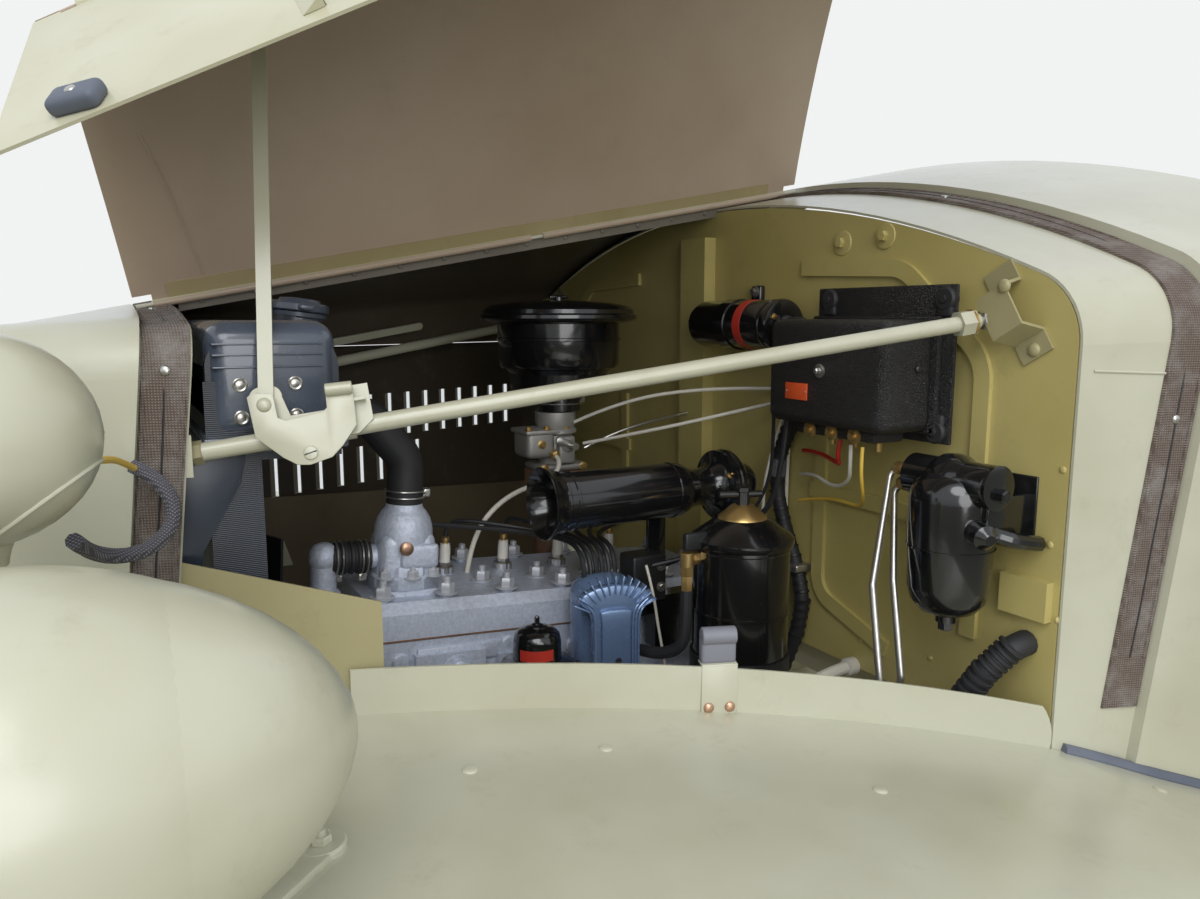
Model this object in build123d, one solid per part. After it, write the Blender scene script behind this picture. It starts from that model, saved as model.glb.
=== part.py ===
from build123d import *
import math
import os

# Front end of a light 4x4 army car with its engine bay open, in millimetres.
# X runs to the rear, Y to the vehicle's right and Z up. The origin lies on the centreline,
# level with the top of the frame rails, in the middle of the four rear bolt holes.

os.makedirs("parts", exist_ok=True)

# Frame
rail_centre = 400
rail_height = 150
rail_flange = 60
rail_wall = 5
rail_front = -1860
rail_rear = 90
mount_pitch = 120
mount_hole = 13
horn_pitch = 90
horn_first = -1830
horn_hole = 13

# Skin of radiator shell, bonnet and cowl: two arches joined by straight lines
rim = dict(x=-1378, half=362, crown=774, corner=752, bend=60)
web = dict(x=-381, half=742, crown=970, corner=800, bend=110)
lean = 6
sheet = 3
ledge_drop = 12
strip_width = 40
panel_gap = 5
shell_front = -1600
shell_nose = 50
shell_foot = 60
cowl_rear = -120
cowl_foot = 100
skin_rear = 20
skins = {}
bulkhead_x = -545
bulkhead_foot = 255
toe_rear = -340

# Bonnet
open_angle = 67
fold_angle = 10
fold_z = 690
pin_offset = 16
pin_sink = 5
knuckle = 5
bonnet_low_front = 430
bonnet_low_rear = 322

# Wings
wing_outer = 1000
wing_sheet = 3
wing_tilt = 2.5
wing_lip = 45
flange_inset = 8
flange_rear = -552

# Stay rods and prop rods
stay_radius = 9
stay_front = Vector(-1398, -326, 619)
stay_rear = Vector(-583, -564, 745)
stay_way = (stay_rear - stay_front).normalized()
prop_pivot = Vector(-1326, -362, 669)
prop_catch = -1217
prop_width = 14
prop_sheet = 4

# Engine, tilted down to the rear
engine_front = -1172
engine_deck = 321
engine_tilt = 3.75
engine_length = 584
head_height = 50
head_half = 118
block_depth = 300
crank_drop = 270

# Lamps
lamp_radius = 120
lamp_place = Vector(-1560, -700, 492)
lamp_tail = 230
lamp_drum = 95
small_lamp_radius = 72
small_lamp_place = Vector(-1567, -546, 670)
small_lamp_tail = 107
small_lamp_drum = 47

# Fan
fan_radius = 190
fan_hub = -62
fan_place = -112
pulley_front = -94
pulley_width = 16
fan_pulley = 62
crank_pulley = 75
generator_pulley = 42
generator_y = 215
generator_z = -150
generator_radius = 60


def outline(start, *steps):
    """Face from a start point and steps: a point for a line, or a pair (mid, end) for an arc."""
    edges = []
    here = start
    for step in steps:
        if isinstance(step[0], tuple):
            edges.append(ThreePointArc(here, step[0], step[1]))
            here = step[1]
        else:
            edges.append(Line(here, step))
            here = step
    if here != start:
        edges.append(Line(here, start))
    return make_face(edges)


def along_y(face, y0, y1):
    """Extrude a face drawn in X and Z from y0 to y1."""
    return extrude(Plane.XZ * face, amount=y1 - y0, dir=(0, 1, 0)).moved(Location((0, y0, 0)))


def along_x(face, x0, x1):
    """Extrude a face drawn in Y and Z from x0 to x1."""
    return extrude(Plane.YZ * face, amount=x1 - x0, dir=(1, 0, 0)).moved(Location((x0, 0, 0)))


def along_z(face, z0, z1):
    """Extrude a face drawn in X and Y from z0 to z1."""
    return extrude(face, amount=z1 - z0, dir=(0, 0, 1)).moved(Location((0, 0, z0)))


def block(x0, x1, y0, y1, z0, z1):
    """Box between two corners."""
    return Box(x1 - x0, y1 - y0, z1 - z0).moved(Location(((x0 + x1) / 2, (y0 + y1) / 2, (z0 + z1) / 2)))


def bar(start, end, radius):
    """Round bar between two points."""
    start, end = Vector(*start), Vector(*end)
    way = end - start
    place = Plane(origin=start, z_dir=way)
    return place * Cylinder(radius, way.length, align=(Align.CENTER, Align.CENTER, Align.MIN))


def pipe(start, end, outer, inner):
    """Straight tube between two points."""
    return bar(start, end, outer) - bar(start, end, inner)


def turned(face, origin, axis):
    """Turn a face drawn as (radius, height) about an axis through origin."""
    return Plane(origin=origin, z_dir=axis) * revolve(Plane.XZ * face, Axis.Z, 360)


def bent(points, radius, bends):
    """Round tube of one radius along straight runs joined by arcs."""
    path = FilletPolyline(*points, radius=bends)
    start = path @ 0
    return sweep(Plane(origin=start, z_dir=path % 0) * Circle(radius), path=path)


def crown(radius, base, rise):
    """Step of an outline: a domed top that ends square on the axis."""
    ball = (radius ** 2 + rise ** 2) / (2 * rise)
    turn = math.asin(radius / ball) / 2
    return (ball * math.sin(turn), base + rise - ball + ball * math.cos(turn)), (0, base + rise)


def other_side(shape):
    """The same piece on the vehicle's right side."""
    return mirror(shape, about=Plane.XZ)


def save(name, shape):
    """Write one node."""
    export_step(shape, f"parts/{name}.step")


def save_pair(name, shape):
    """Write a left piece and its mirror image."""
    save(name + "_left", shape)
    save(name + "_right", other_side(shape))


def arch(x):
    """Sizes of the skin's arch at x."""
    share = (x - rim["x"]) / (web["x"] - rim["x"])
    return {key: rim[key] + share * (web[key] - rim[key]) for key in rim}


def arch_face(x, inset, foot):
    """Cross-section of the skin at x, set in by inset, closed at the foot."""
    size = arch(x)
    half = size["half"] - inset
    corner = size["corner"] - inset
    face = outline((-half, foot), (-half, corner), ((0, size["crown"] - inset), (half, corner)), (half, foot))
    shoulders = face.vertices().sort_by(Axis.Y)[2:]
    face = fillet(shoulders, size["bend"] - inset)
    return Plane(origin=(x, 0, 0), x_dir=(0, 1, 0), z_dir=(1, 0, 0)) * face


def skin_under(inset):
    """Solid under the whole skin, set in by inset. Every panel is cut from these few."""
    if inset not in skins:
        skins[inset] = loft([arch_face(shell_front, inset, -200), arch_face(skin_rear, inset, -200)], ruled=True)
    return skins[inset]


def skin_body(x0, x1, inset, foot):
    """Solid under the skin between two places."""
    return skin_under(inset) & block(x0, x1, -1300, 1300, foot, 1400)


def skin_band(x0, x1, outer, inner, foot):
    """Sheet between two insets, open at its ends and foot."""
    return skin_body(x0, x1, outer, foot) - skin_under(inner)


def leaning(end, shift, z):
    """X of a leaning edge at height z, shifted along X."""
    return end["x"] + shift + (z - end["crown"]) * math.tan(math.radians(lean))


def between(front, rear):
    """Space between two leaning edges, each given as (end, shift)."""
    low, high = -300, 1400
    corners = [(leaning(*front, low), low), (leaning(*rear, low), low),
               (leaning(*rear, high), high), (leaning(*front, high), high)]
    return along_y(outline(*corners), -1300, 1300)


def side_y(x, inset):
    """Y of the left side of the skin."""
    return -(arch(x)["half"] - inset)


# Frame rails, channels that open inwards, with the rear bolt holes and the bumper bolt holes
rail_out = -(rail_centre + rail_flange / 2)
rail_in = rail_out + rail_flange
rail = block(rail_front, rail_rear, rail_out, rail_in, -rail_height, 0)
rail -= block(rail_front - 1, rail_rear + 1, rail_out + rail_wall, rail_in + 1,
              rail_wall - rail_height, -rail_wall)
for place in (-mount_pitch / 2, mount_pitch / 2):
    rail -= bar((place, -rail_centre, -rail_wall - 1), (place, -rail_centre, 1), mount_hole / 2)
for place in (horn_first, horn_first + horn_pitch):
    rail -= bar((place, rail_out - 1, -rail_height / 2), (place, rail_out + rail_wall + 1, -rail_height / 2),
                horn_hole / 2)
save_pair("frame_rail", rail)

inner_web = rail_centre + rail_flange / 2 - rail_wall - 0.3


def cross_channel(x0, x1, z0, z1, wall):
    """Channel across the frame, open below."""
    body = block(x0, x1, -inner_web, inner_web, z0, z1)
    return body - block(x0 + wall, x1 - wall, -inner_web - 1, inner_web + 1, z0 - 1, z1 - wall)


# Front cross member with the seat for the radiator and its shell
seat_half = rail_centre - rail_flange / 2 - 6
front_member = cross_channel(-1600, -1480, -120, -30, 6)
front_member += block(-1640, -1318, -seat_half, seat_half, shell_foot - 6.3, shell_foot - 0.3)
for y in (-seat_half, seat_half - 6):
    front_member += block(-1595, -1485, y, y + 6, -32, shell_foot - 6)
save("cross_member_front", front_member)

# Middle cross member under the engine's front foot, and the rear one that carries the body
engine_seat = -70
save("cross_member_engine", cross_channel(-1215, -1145, -140, engine_seat, 6))

floor_z = cowl_foot
rear_member = cross_channel(-300, -220, -130, -50, 6)
for side in (-1, 1):
    y0, y1 = sorted((side * (rail_centre - 30), side * (rail_centre + 30)))
    rear_member += block(-300, -220, y0, y1, 0.3, floor_z - 0.3)
save("cross_member_rear", rear_member)

# Bulkhead with pressed ribs, sloping toe board and a strip of floor
bulkhead_half = -side_y(bulkhead_x, ledge_drop + sheet) - 0.3
wall_face = arch_face(bulkhead_x, ledge_drop + sheet + 2.0, bulkhead_foot)
bulkhead = extrude(wall_face, amount=sheet, dir=(1, 0, 0))
toe = outline((bulkhead_x, bulkhead_foot), (bulkhead_x + sheet, bulkhead_foot + sheet),
              (toe_rear, floor_z + sheet), (cowl_rear, floor_z + sheet), (cowl_rear, floor_z),
              (toe_rear, floor_z))
bulkhead += along_y(toe, -bulkhead_half, bulkhead_half)
rib_depth = 6
rib_width = 22
ribs = [
    ([(-229, 820), (-420, 812), (-549, 700), (-549, 360)], 60),
    ([(-282, 600), (-282, 345), (-420, 300)], 40),
    ([(-262, 498), (-420, 498), (-505, 490)], 60),
]
for points, bend in ribs:
    band = trace(FilletPolyline(*points, radius=bend), line_width=rib_width)
    rib = along_x(band, bulkhead_x - rib_depth, bulkhead_x + 1)
    bulkhead += rib
    bulkhead += other_side(rib)
bulkhead += block(bulkhead_x - 22, bulkhead_x + 1, -8, 62, 330, 880)
bulkhead += block(bulkhead_x - 12, bulkhead_x + 1, -655, -595, 410, 456)
save("bulkhead", bulkhead)

# Cowl: outer skin, ledge for the bonnet and the step between them
cowl = skin_band(-500, cowl_rear, 0, sheet, cowl_foot) & between((web, 0), (web, 1000))
ledge = skin_band(bulkhead_x, -250, ledge_drop, ledge_drop + sheet, cowl_foot)
ledge &= between((web, -1000), (web, sheet))
step = skin_band(-520, -250, 0, ledge_drop + sheet, cowl_foot) & between((web, 0), (web, sheet))
cowl = cowl + ledge + step
cowl += skin_band(cowl_rear - sheet, cowl_rear, 0, 25, cowl_foot)
save("cowl", cowl)

strip_sheet = 2.7


def webbing(end, x0, x1):
    """Woven strip on a ledge, parted for the hinge foot."""
    strip = skin_band(x0, x1, ledge_drop - strip_sheet - 0.3, ledge_drop - 0.3, end["foot"])
    strip &= between((end, -strip_width - 2), (end, -2))
    return strip - block(x0, x1, -pin_offset - 4, pin_offset + 4, 600, 1100)


save("cowl_webbing", webbing(dict(web, foot=310), -560, -340))

# Radiator shell: skin, nose with its opening, ledge behind
ledge_front = -strip_width - 4
nose_x = shell_front - shell_nose
shell = skin_band(shell_front, -1360, 0, sheet, shell_foot) & between((rim, -1000), (rim, ledge_front))
ledge = skin_band(-1480, -1340, ledge_drop, ledge_drop + sheet, shell_foot)
shell += ledge & between((rim, ledge_front - sheet), (rim, 0))
step = skin_band(-1500, -1340, 0, ledge_drop + sheet, shell_foot)
shell += step & between((rim, ledge_front - sheet), (rim, ledge_front))
nose_outer = loft([arch_face(nose_x, 40, -200), arch_face(shell_front, 0, -200)], ruled=True)
nose_inner = loft([arch_face(nose_x + sheet, 43, -200), arch_face(shell_front, sheet, -200)], ruled=True)
opening_half = 195
opening = along_x(outline((-opening_half, 130), (-opening_half, 610), ((0, 660), (opening_half, 610)),
                          (opening_half, 130)), nose_x - 5, nose_x + 20)
shell += (nose_outer - nose_inner - opening) & block(nose_x - 5, shell_front, -400, 400, shell_foot, 900)
for side in (-1, 1):
    y0, y1 = sorted((side * 306, side * 345))
    seat = block(stay_front.X - 6, stay_front.X + 8, y0, y1, 600, 640) & skin_body(-1500, -1340, 13, 50)
    stay_hole = bar(stay_front - stay_way * 30, stay_rear, stay_radius + 0.3)
    shell += seat - stay_hole - other_side(stay_hole)
save("radiator_shell", shell)
save("shell_webbing", webbing(dict(rim, foot=200), -1460, -1350))

# Grille of upright bars in the opening
grille = None
bar_x = nose_x + sheet + 8
for index in range(-5, 6):
    y = index * 36
    bar_piece = bar((bar_x, y, 112), (bar_x, y, 665 - abs(y) * 0.2), 5)
    grille = bar_piece if grille is None else grille + bar_piece
for z in (118, 380, 595):
    grille += block(bar_x - 3, bar_x + 3, -opening_half - 12, opening_half + 12, z, z + 14)
save("grille", grille)

# Bonnet, made shut and then swung to the photographed pose
hinge_run = web["x"] - rim["x"]
hinge_rise = web["crown"] - rim["crown"]
crown_frame = Plane(origin=(rim["x"], 0, rim["crown"]), x_dir=(hinge_run, 0, hinge_rise),
                    z_dir=(-hinge_rise, 0, hinge_run))
hinge_length = math.hypot(hinge_run, hinge_rise)
lug_places = (-34, hinge_length / 2, hinge_length - 15)
lug_half = 6


def on_crown(shape):
    """Move a piece drawn along the crown line to its place."""
    return crown_frame * shape


def crown_block(x0, x1, y0, y1, z0, z1):
    return on_crown(block(x0, x1, y0, y1, z0, z1))


centre_end = hinge_length - 5
centre = crown_block(-40, centre_end, -9, 9, -6, -3)
centre += crown_block(-40, -22, -9, 9, -ledge_drop + 0.3, -5.5)
centre += crown_block(centre_end - 22, centre_end, -9, 9, -ledge_drop + 0.3, -5.5)
for side in (-1, 1):
    centre += on_crown(bar((-40, side * pin_offset, -pin_sink), (centre_end, side * pin_offset, -pin_sink), 2.5))
for place in lug_places:
    centre += crown_block(place - lug_half, place + lug_half, -pin_offset - 2, pin_offset + 2,
                          -pin_sink - 2, -pin_sink + 2)
save("bonnet_hinge", centre)

bonnet_front = (rim, ledge_front + panel_gap)
bonnet_rear = (web, -panel_gap)
low_cut = along_y(outline((-1500, bonnet_low_front), (-1500, -100), (-200, -100), (-200, bonnet_low_rear)),
                  -1300, 0)
skin = skin_band(-1560, -300, 0, sheet, 100) & between(bonnet_front, bonnet_rear)
skin &= block(-1700, 0, -900, -pin_offset, -50, 1100)

fold_direction = Vector(hinge_run, -(web["half"] - rim["half"]), 0).normalized()


def fold_point(x):
    """Point on the fold line between top and side panel."""
    return Vector(x, side_y(x, sheet / 2), fold_z)


fold_radius = 4.5
fold_pin = 2
top = skin & block(-1700, 0, -900, 0, fold_z + fold_radius + 1, 1100)
top += on_crown(bar((-20, -pin_offset, -pin_sink), (hinge_length - 30, -pin_offset, -pin_sink), knuckle))
for place in lug_places:
    top -= crown_block(place - lug_half - 4, place + lug_half + 4, -pin_offset - 12, 0, -14, 6)
top -= crown_block(-60, -20, -pin_offset - 12, 0, -14, 6)
top -= crown_block(hinge_length - 30, hinge_length + 60, -pin_offset - 12, 0, -14, 6)
top -= on_crown(bar((-60, -pin_offset, -pin_sink), (hinge_length + 60, -pin_offset, -pin_sink), 2.9))
fold_first, fold_last = -1400, -425
fold_lugs = (-1392, -905, -433)
top += bar(fold_point(fold_first), fold_point(fold_last), fold_pin)
for place in fold_lugs:
    seat = fold_point(place)
    lug = Plane(origin=seat, x_dir=fold_direction, z_dir=(0, 0, 1)) * Box(
        12, sheet - 0.4, 9, align=(Align.CENTER, Align.CENTER, Align.MIN))
    top += lug

side = skin & block(-1700, 0, -900, 0, 0, fold_z - 1)
side -= low_cut
side += bar(fold_point(fold_first + 4), fold_point(fold_last - 4), fold_radius)
side -= bar(fold_point(fold_first - 40), fold_point(fold_last + 40), fold_pin + 0.3)
for place in fold_lugs:
    seat = fold_point(place)
    side -= Plane(origin=seat, x_dir=fold_direction, z_dir=(0, 0, 1)) * Box(16, 14, 14)

louvre_rows = [
    dict(first=-1010, pitch=43, count=9, low=512, high=600),
    dict(first=-1206, pitch=43, count=8, low=425, high=500),
]
louvre_depth = 10
louvre_length = 15
louvre_wall = 1.5
for row in louvre_rows:
    for index in range(row["count"]):
        x = row["first"] + index * row["pitch"]
        front = Vector(x, side_y(x, 0), 0)
        frame = Plane(origin=front, x_dir=fold_direction, z_dir=(0, 0, 1))
        wedge = make_face(Polyline((-4, -0.5), (louvre_length, -0.5), (louvre_length, -louvre_depth), close=True))
        hollow = make_face(Polyline((-0.5, 5), (-0.5, 0), (louvre_length - 0.5, -louvre_depth + louvre_wall),
                                    (louvre_length + 1, -louvre_depth + louvre_wall), (louvre_length + 1, 5),
                                    close=True))
        side += frame * along_z(wedge, row["low"], row["high"])
        side -= frame * along_z(hollow, row["low"] + louvre_wall, row["high"] - louvre_wall)

save("bonnet_top_right", other_side(top))
save("bonnet_side_right", other_side(side))

hinge_left = Axis((crown_frame * Vertex(0, -pin_offset, -pin_sink)).center(), (hinge_run, 0, hinge_rise))
fold_axis_shut = Axis(fold_point(rim["x"]), fold_direction)


def raised(shape):
    """Swing a shut left bonnet piece up."""
    return shape.rotate(hinge_left, -open_angle)


save("bonnet_top_left", raised(top))
save("bonnet_side_left", raised(side.rotate(fold_axis_shut, fold_angle)))

# Prop rods: the left one stands under the raised bonnet, the right one lies in its clip
prop_target = Vertex(prop_catch, side_y(prop_catch, 30), fold_z + 14)
prop_top = prop_target.rotate(hinge_left, -open_angle).center()
prop_way = (prop_top - prop_pivot).normalized()
prop_length = (prop_top - prop_pivot).length
prop_axis = stay_way.cross(prop_way).normalized()
prop_fold = prop_way.get_angle(stay_way)
prop_frame = Plane(origin=prop_pivot, x_dir=stay_way, z_dir=prop_axis)
up = prop_frame.to_local_coords(prop_top)
stay_local = prop_frame.to_local_coords(stay_front + stay_way * (prop_pivot - stay_front).dot(stay_way))

plate_back = stay_local.Z + stay_radius
plate_sheet = 3
strip_back = plate_back + plate_sheet + 0.5
up_frame = Plane(origin=(0, 0, strip_back), x_dir=(up.Y, -up.X, 0), z_dir=(0, 0, 1))
strip_end = prop_length - prop_width / 2
rod_face = outline((-prop_width / 2, 0), (-prop_width / 2, strip_end),
                   ((0, prop_length), (prop_width / 2, strip_end)), (prop_width / 2, 0),
                   ((0, -prop_width / 2), (-prop_width / 2, 0)))
rod = prop_frame * (up_frame * extrude(rod_face, amount=prop_sheet, dir=(0, 0, 1)))
rod -= prop_frame * Cylinder(3.3, 80)
save("prop_rod_left", rod)
save("prop_rod_right", other_side(rod.rotate(Axis(prop_pivot, prop_axis), -prop_fold)))

plate_low = stay_local.Y - stay_radius
plate_face = outline((-15, 6), ((-12, 15), (0, 17)), ((12, 15), (15, 6)), (20, -14), (60, -14), (64, 6),
                     (96, 6), (96, plate_low + 12), (80, plate_low), (14, plate_low), (-15, -8))
plate = prop_frame * along_z(plate_face, plate_back, plate_back + plate_sheet)
plate += prop_frame * along_z(Circle(3), plate_back, plate_back + 10)
plate += prop_frame * along_z(Circle(7), plate_back + 8.6, plate_back + 12)
clip_low = -prop_width / 2 - 1.5
plate += prop_frame * block(66, 92, clip_low - 3, clip_low, plate_back + 1, plate_back + 14)
stay_mid = stay_front + stay_way * ((prop_pivot - stay_front).dot(stay_way) + 47)
collar = bar(stay_mid - stay_way * 30, stay_mid + stay_way * 30, stay_radius + 3)
bracket = plate + collar - bar(stay_front, stay_rear, stay_radius + 0.3)
save("prop_brackets", Compound([bracket, other_side(bracket)]))

# Stay rods from the shell to the bulkhead, each with its nut, and the hat brackets that hold them
stay = bar(stay_front, stay_rear, stay_radius)
nut_frame = Plane(origin=stay_rear - stay_way * 26, z_dir=stay_way)
stay += nut_frame * extrude(RegularPolygon(15, 6), amount=20)
save_pair("stay_rod", stay)

hat_centre = Vector(bulkhead_x - 0.3, -588, 755)
hat_frame = Plane(origin=hat_centre, x_dir=(0, -62, -103), z_dir=(0, -103, 62))
hat_rise = abs(stay_rear.X - hat_centre.X) - 5
hat_face = make_face(Polyline((-58, 0), (-34, 0), (-26, -hat_rise), (26, -hat_rise), (34, 0), (58, 0), (58, 3),
                              (31, 3), (23, 3 - hat_rise), (-23, 3 - hat_rise), (-31, 3), (-58, 3), close=True))
hat = hat_frame * extrude(hat_face, amount=20, both=True)
hat = hat.moved(Location((-3.0, 0, 0)))
save("stay_brackets", Compound([hat, other_side(hat)]))

# Wings: rolled top with an outer lip, upright flange beside the bonnet
wing_face = outline((-1790, -100), (-1790, 60), ((-1757, 232), (-1620, 318)), ((-1200, 352), (-533, 268)),
                    (cowl_rear, 140), (cowl_rear + 100, 110), (cowl_rear + 100, -100))


def wing_band(depth):
    """Band of the given depth under the wing's top line."""
    return wing_face - offset(wing_face, amount=-depth)


def plan_strip(x0, x1, inset_out, inset_in):
    """Plan of a strip that follows the bonnet's side."""
    return make_face(Polyline((x0, side_y(x0, inset_out)), (x1, side_y(x1, inset_out)),
                              (x1, side_y(x1, inset_in)), (x0, side_y(x0, inset_in)), close=True))


wing_reach = block(-1800, cowl_rear, -wing_outer, 0, 60, 500)
wing_plan = make_face(Polyline((-1800, side_y(-1800, flange_inset)), (cowl_rear, side_y(cowl_rear, flange_inset)),
                               (cowl_rear, -wing_outer), (-1800, -wing_outer), close=True))
wing = along_y(wing_band(wing_sheet), -wing_outer, 0) & along_z(wing_plan, 60, 500)
wing += along_y(wing_band(wing_lip), -wing_outer, -wing_outer + wing_sheet) & wing_reach
flange_profile = outline((-1265, 300), (-1265, 399), ((-935, 388), (flange_rear - 10, 324)),
                         ((flange_rear, 306), (flange_rear - 10, 240)))
flange = along_z(plan_strip(-1275, -500, flange_inset, flange_inset + 3), 200, 420)
wing += flange & along_y(flange_profile, -900, 0)
tilt_axis = Axis((0, side_y(-935, flange_inset), 334), (1, 0, 0))
wing = wing.rotate(tilt_axis, wing_tilt)
wing -= skin_body(-480, skin_rear, -0.4, -100)
wing -= skin_body(shell_front, -1465, -0.4, -100)
wing -= block(-1900, shell_front + 1, -arch(shell_front)["half"] - 0.4, 0, -100, 1000)
save_pair("wing", wing)

# Wing braces: upright plates from the shell's rim to the flange
brace_profile = outline((-1446, 360), (-1446, 517), (-1404, 517), (-1232, 470), (-1232, 390), (-1276, 372))
brace = along_z(plan_strip(-1460, -1200, flange_inset + 7.3, flange_inset + 10.3), 250, 560)
brace += along_z(plan_strip(-1262, -1236, flange_inset + 3.4, flange_inset + 8), 300, 394)
brace &= along_y(brace_profile, -900, 0)
save("wing_braces", Compound([brace, other_side(brace)]))

# Bonnet catches: strap and rubber block on the flange
catch_x = -925
catch_y = side_y(catch_x, flange_inset + 3.3)
catch_frame = Plane(origin=(catch_x, catch_y, 0), x_dir=fold_direction, z_dir=(0, 0, 1))
catch = block(-20, 20, 0, 3, 348, 402) + block(-13, 13, 0, 3, 395, 440) + block(-17, 17, -3, 16, 428, 462)
catch = catch_frame * catch
save("bonnet_catches", Compound([catch, other_side(catch)]))


# Headlamps: bullet shell with a drum front, on a cast foot
def bullet(radius, drum, tail, wall):
    """Lamp body along X, set in by wall."""
    face = outline((0, tail - wall), ((radius * 0.72 - wall, tail * 0.68 - wall), (radius - wall, 0)),
                   (radius - wall, -drum), (0, -drum))
    return turned(face, (0, 0, 0), (1, 0, 0))


def lamp_shell(radius, drum, tail, wall):
    """Hollow lamp body, open at the front."""
    return bullet(radius, drum, tail, 0) - bullet(radius, drum + 1, tail, wall)


def glass(radius, drum):
    """Domed front glass."""
    face = outline((0, 0), (radius, 0), (radius, 4), crown(radius, 4, 18))
    return turned(face, (-drum + 6, 0, 0), (-1, 0, 0))


on_wing = along_y(wing_face, -wing_outer, 0).rotate(tilt_axis, wing_tilt).moved(Location((0, 0, 0.3)))
lamp_wall = 3
foot_profile = outline((-75, -30), (85, -30), (85, 8), (40, 40), (30, 70), (-30, 70), (-40, 40), (-75, 8))
lamp_foot = along_y(foot_profile, -34, 34).moved(Location((lamp_place.X + 85, lamp_place.Y, 330)))
lamp_foot -= on_wing
lamp_foot -= bullet(lamp_radius, lamp_drum, lamp_tail, lamp_wall).moved(Location(lamp_place))
lamp = lamp_shell(lamp_radius, lamp_drum, lamp_tail, lamp_wall).moved(Location(lamp_place)) + lamp_foot
save_pair("headlamp", lamp)
lens = glass(lamp_radius - lamp_wall - 0.3, lamp_drum).moved(Location(lamp_place))
save("headlamp_glass", Compound([lens, other_side(lens)]))

# Small driving lamp on a saddle and post, on the left wing only
small_wall = 2.5
post_top = Vector(small_lamp_place.X + 18, small_lamp_place.Y, small_lamp_place.Z - small_lamp_radius - 14)
saddle = turned(outline((0, 0), (26, 0), ((34, 22), (52, 40)), (0, 40)), post_top, (0, 0, 1))
saddle += bar((post_top.X, post_top.Y, 300), post_top + Vector(0, 0, 5), 12)
saddle -= on_wing
saddle -= bullet(small_lamp_radius, small_lamp_drum, small_lamp_tail, small_wall).moved(Location(small_lamp_place))
small = lamp_shell(small_lamp_radius, small_lamp_drum, small_lamp_tail, small_wall).moved(Location(small_lamp_place))
small += saddle
small += glass(small_lamp_radius - small_wall + 0.2, small_lamp_drum).moved(Location(small_lamp_place))
save("driving_lamp", small)

# Radiator: top tank with filler neck, core, bottom tank and side plates
core_front, core_rear = -1372, -1325
tank_half = 316
tank_low, tank_top, tank_rear = 608, 728, -1245
tank = block(core_front, tank_rear, -tank_half, tank_half, tank_low, tank_top)
radiator = fillet(tank.edges().filter_by(Axis.Y).group_by(Axis.Z)[-1], 26)
radiator += block(core_front, core_rear, -tank_half, tank_half, 110, tank_low + 1)
for y in (-tank_half - 3, tank_half):
    radiator += block(core_front - 3, core_rear, y, y + 3, shell_foot, tank_top - 40)
neck_way = Vector(0.5, 0, 0.85).normalized()
neck_base = Vector(-1266, -66, 698)
neck_top = neck_base + neck_way * 56
radiator += bar(neck_base, neck_top, 30)
outlet_end = Vector(-1210, -40, 636)
radiator += bar(outlet_end - Vector(50, 0, -16), outlet_end, 21)
drain_end = Vector(core_rear + 38, 285, 128)
radiator += bar(drain_end - Vector(45, 0, 0), drain_end, 16)
save("radiator", radiator)
cap_face = outline((0, 0.3), (34, 0.3), (40, 5), (40, 12), crown(40, 12, 9))
cap = turned(cap_face, neck_top, neck_way)
cap_frame = Plane(origin=neck_top, z_dir=neck_way, x_dir=(0, 1, 0))
for side in (-1, 1):
    x0, x1 = sorted((side * 36, side * 50))
    cap += cap_frame * block(x0, x1, -11, 11, 6, 12)
save("radiator_cap", cap)

# Engine, drawn level and then tilted: x runs back from its front face, z up from the deck
engine_place = Location((engine_front, 0, engine_deck), (0, engine_tilt, 0))
pulley_rear = pulley_front + pulley_width


def pulley(radius):
    """Pulley with its groove, on the engine's x axis."""
    face = outline((0, 0), (radius, 0), (radius, 2), (radius - 9, 4), (radius - 9, 12), (radius, 14),
                   (radius, pulley_width), (0, pulley_width))
    return turned(face, (pulley_front, 0, 0), (1, 0, 0))


case_face = outline((-head_half, 0), (head_half, 0), (head_half, -150), (135, -190), (135, -block_depth),
                    (-135, -block_depth), (-135, -190), (-head_half, -150))
engine = along_x(case_face, 0, engine_length)
engine += block(-26, 1, -95, 95, -block_depth, -40)
engine += block(-26, 34, -60, 60, -block_depth - 110, -block_depth + 1)
for x, low, high in ((58, -66, -20), (178, -74, -30)):
    engine += block(x, x + 100, -130, -116, low, high)
engine += bar((pulley_rear - 1, 0, -crank_drop), (-25, 0, -crank_drop), 30)
engine += pulley(crank_pulley).moved(Location((0, 0, -crank_drop)))
engine = engine.moved(engine_place)
engine -= block(-1300, -1000, -300, 300, -400, engine_seat + 0.3)
filter_place = Vector(-705, -300, 214)
cover_place = Vector(-856, -182, 248)
filler_place = Vector(-976, -214, 280)
engine += block(filter_place.X - 60, filter_place.X + 60, filter_place.Y - 50, -112,
                filter_place.Z - 20.3, filter_place.Z - 0.3)
engine += block(cover_place.X - 30, cover_place.X + 30, cover_place.Y - 25, -112,
                cover_place.Z - 16.3, cover_place.Z - 0.3)
engine += bar((filler_place.X, filler_place.Y, 205), filler_place - Vector(0, 0, 0.3), 24)
engine += bar((filler_place.X, filler_place.Y, 216), (filler_place.X, -110, 180), 22)
save("engine_block", engine)

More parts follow.
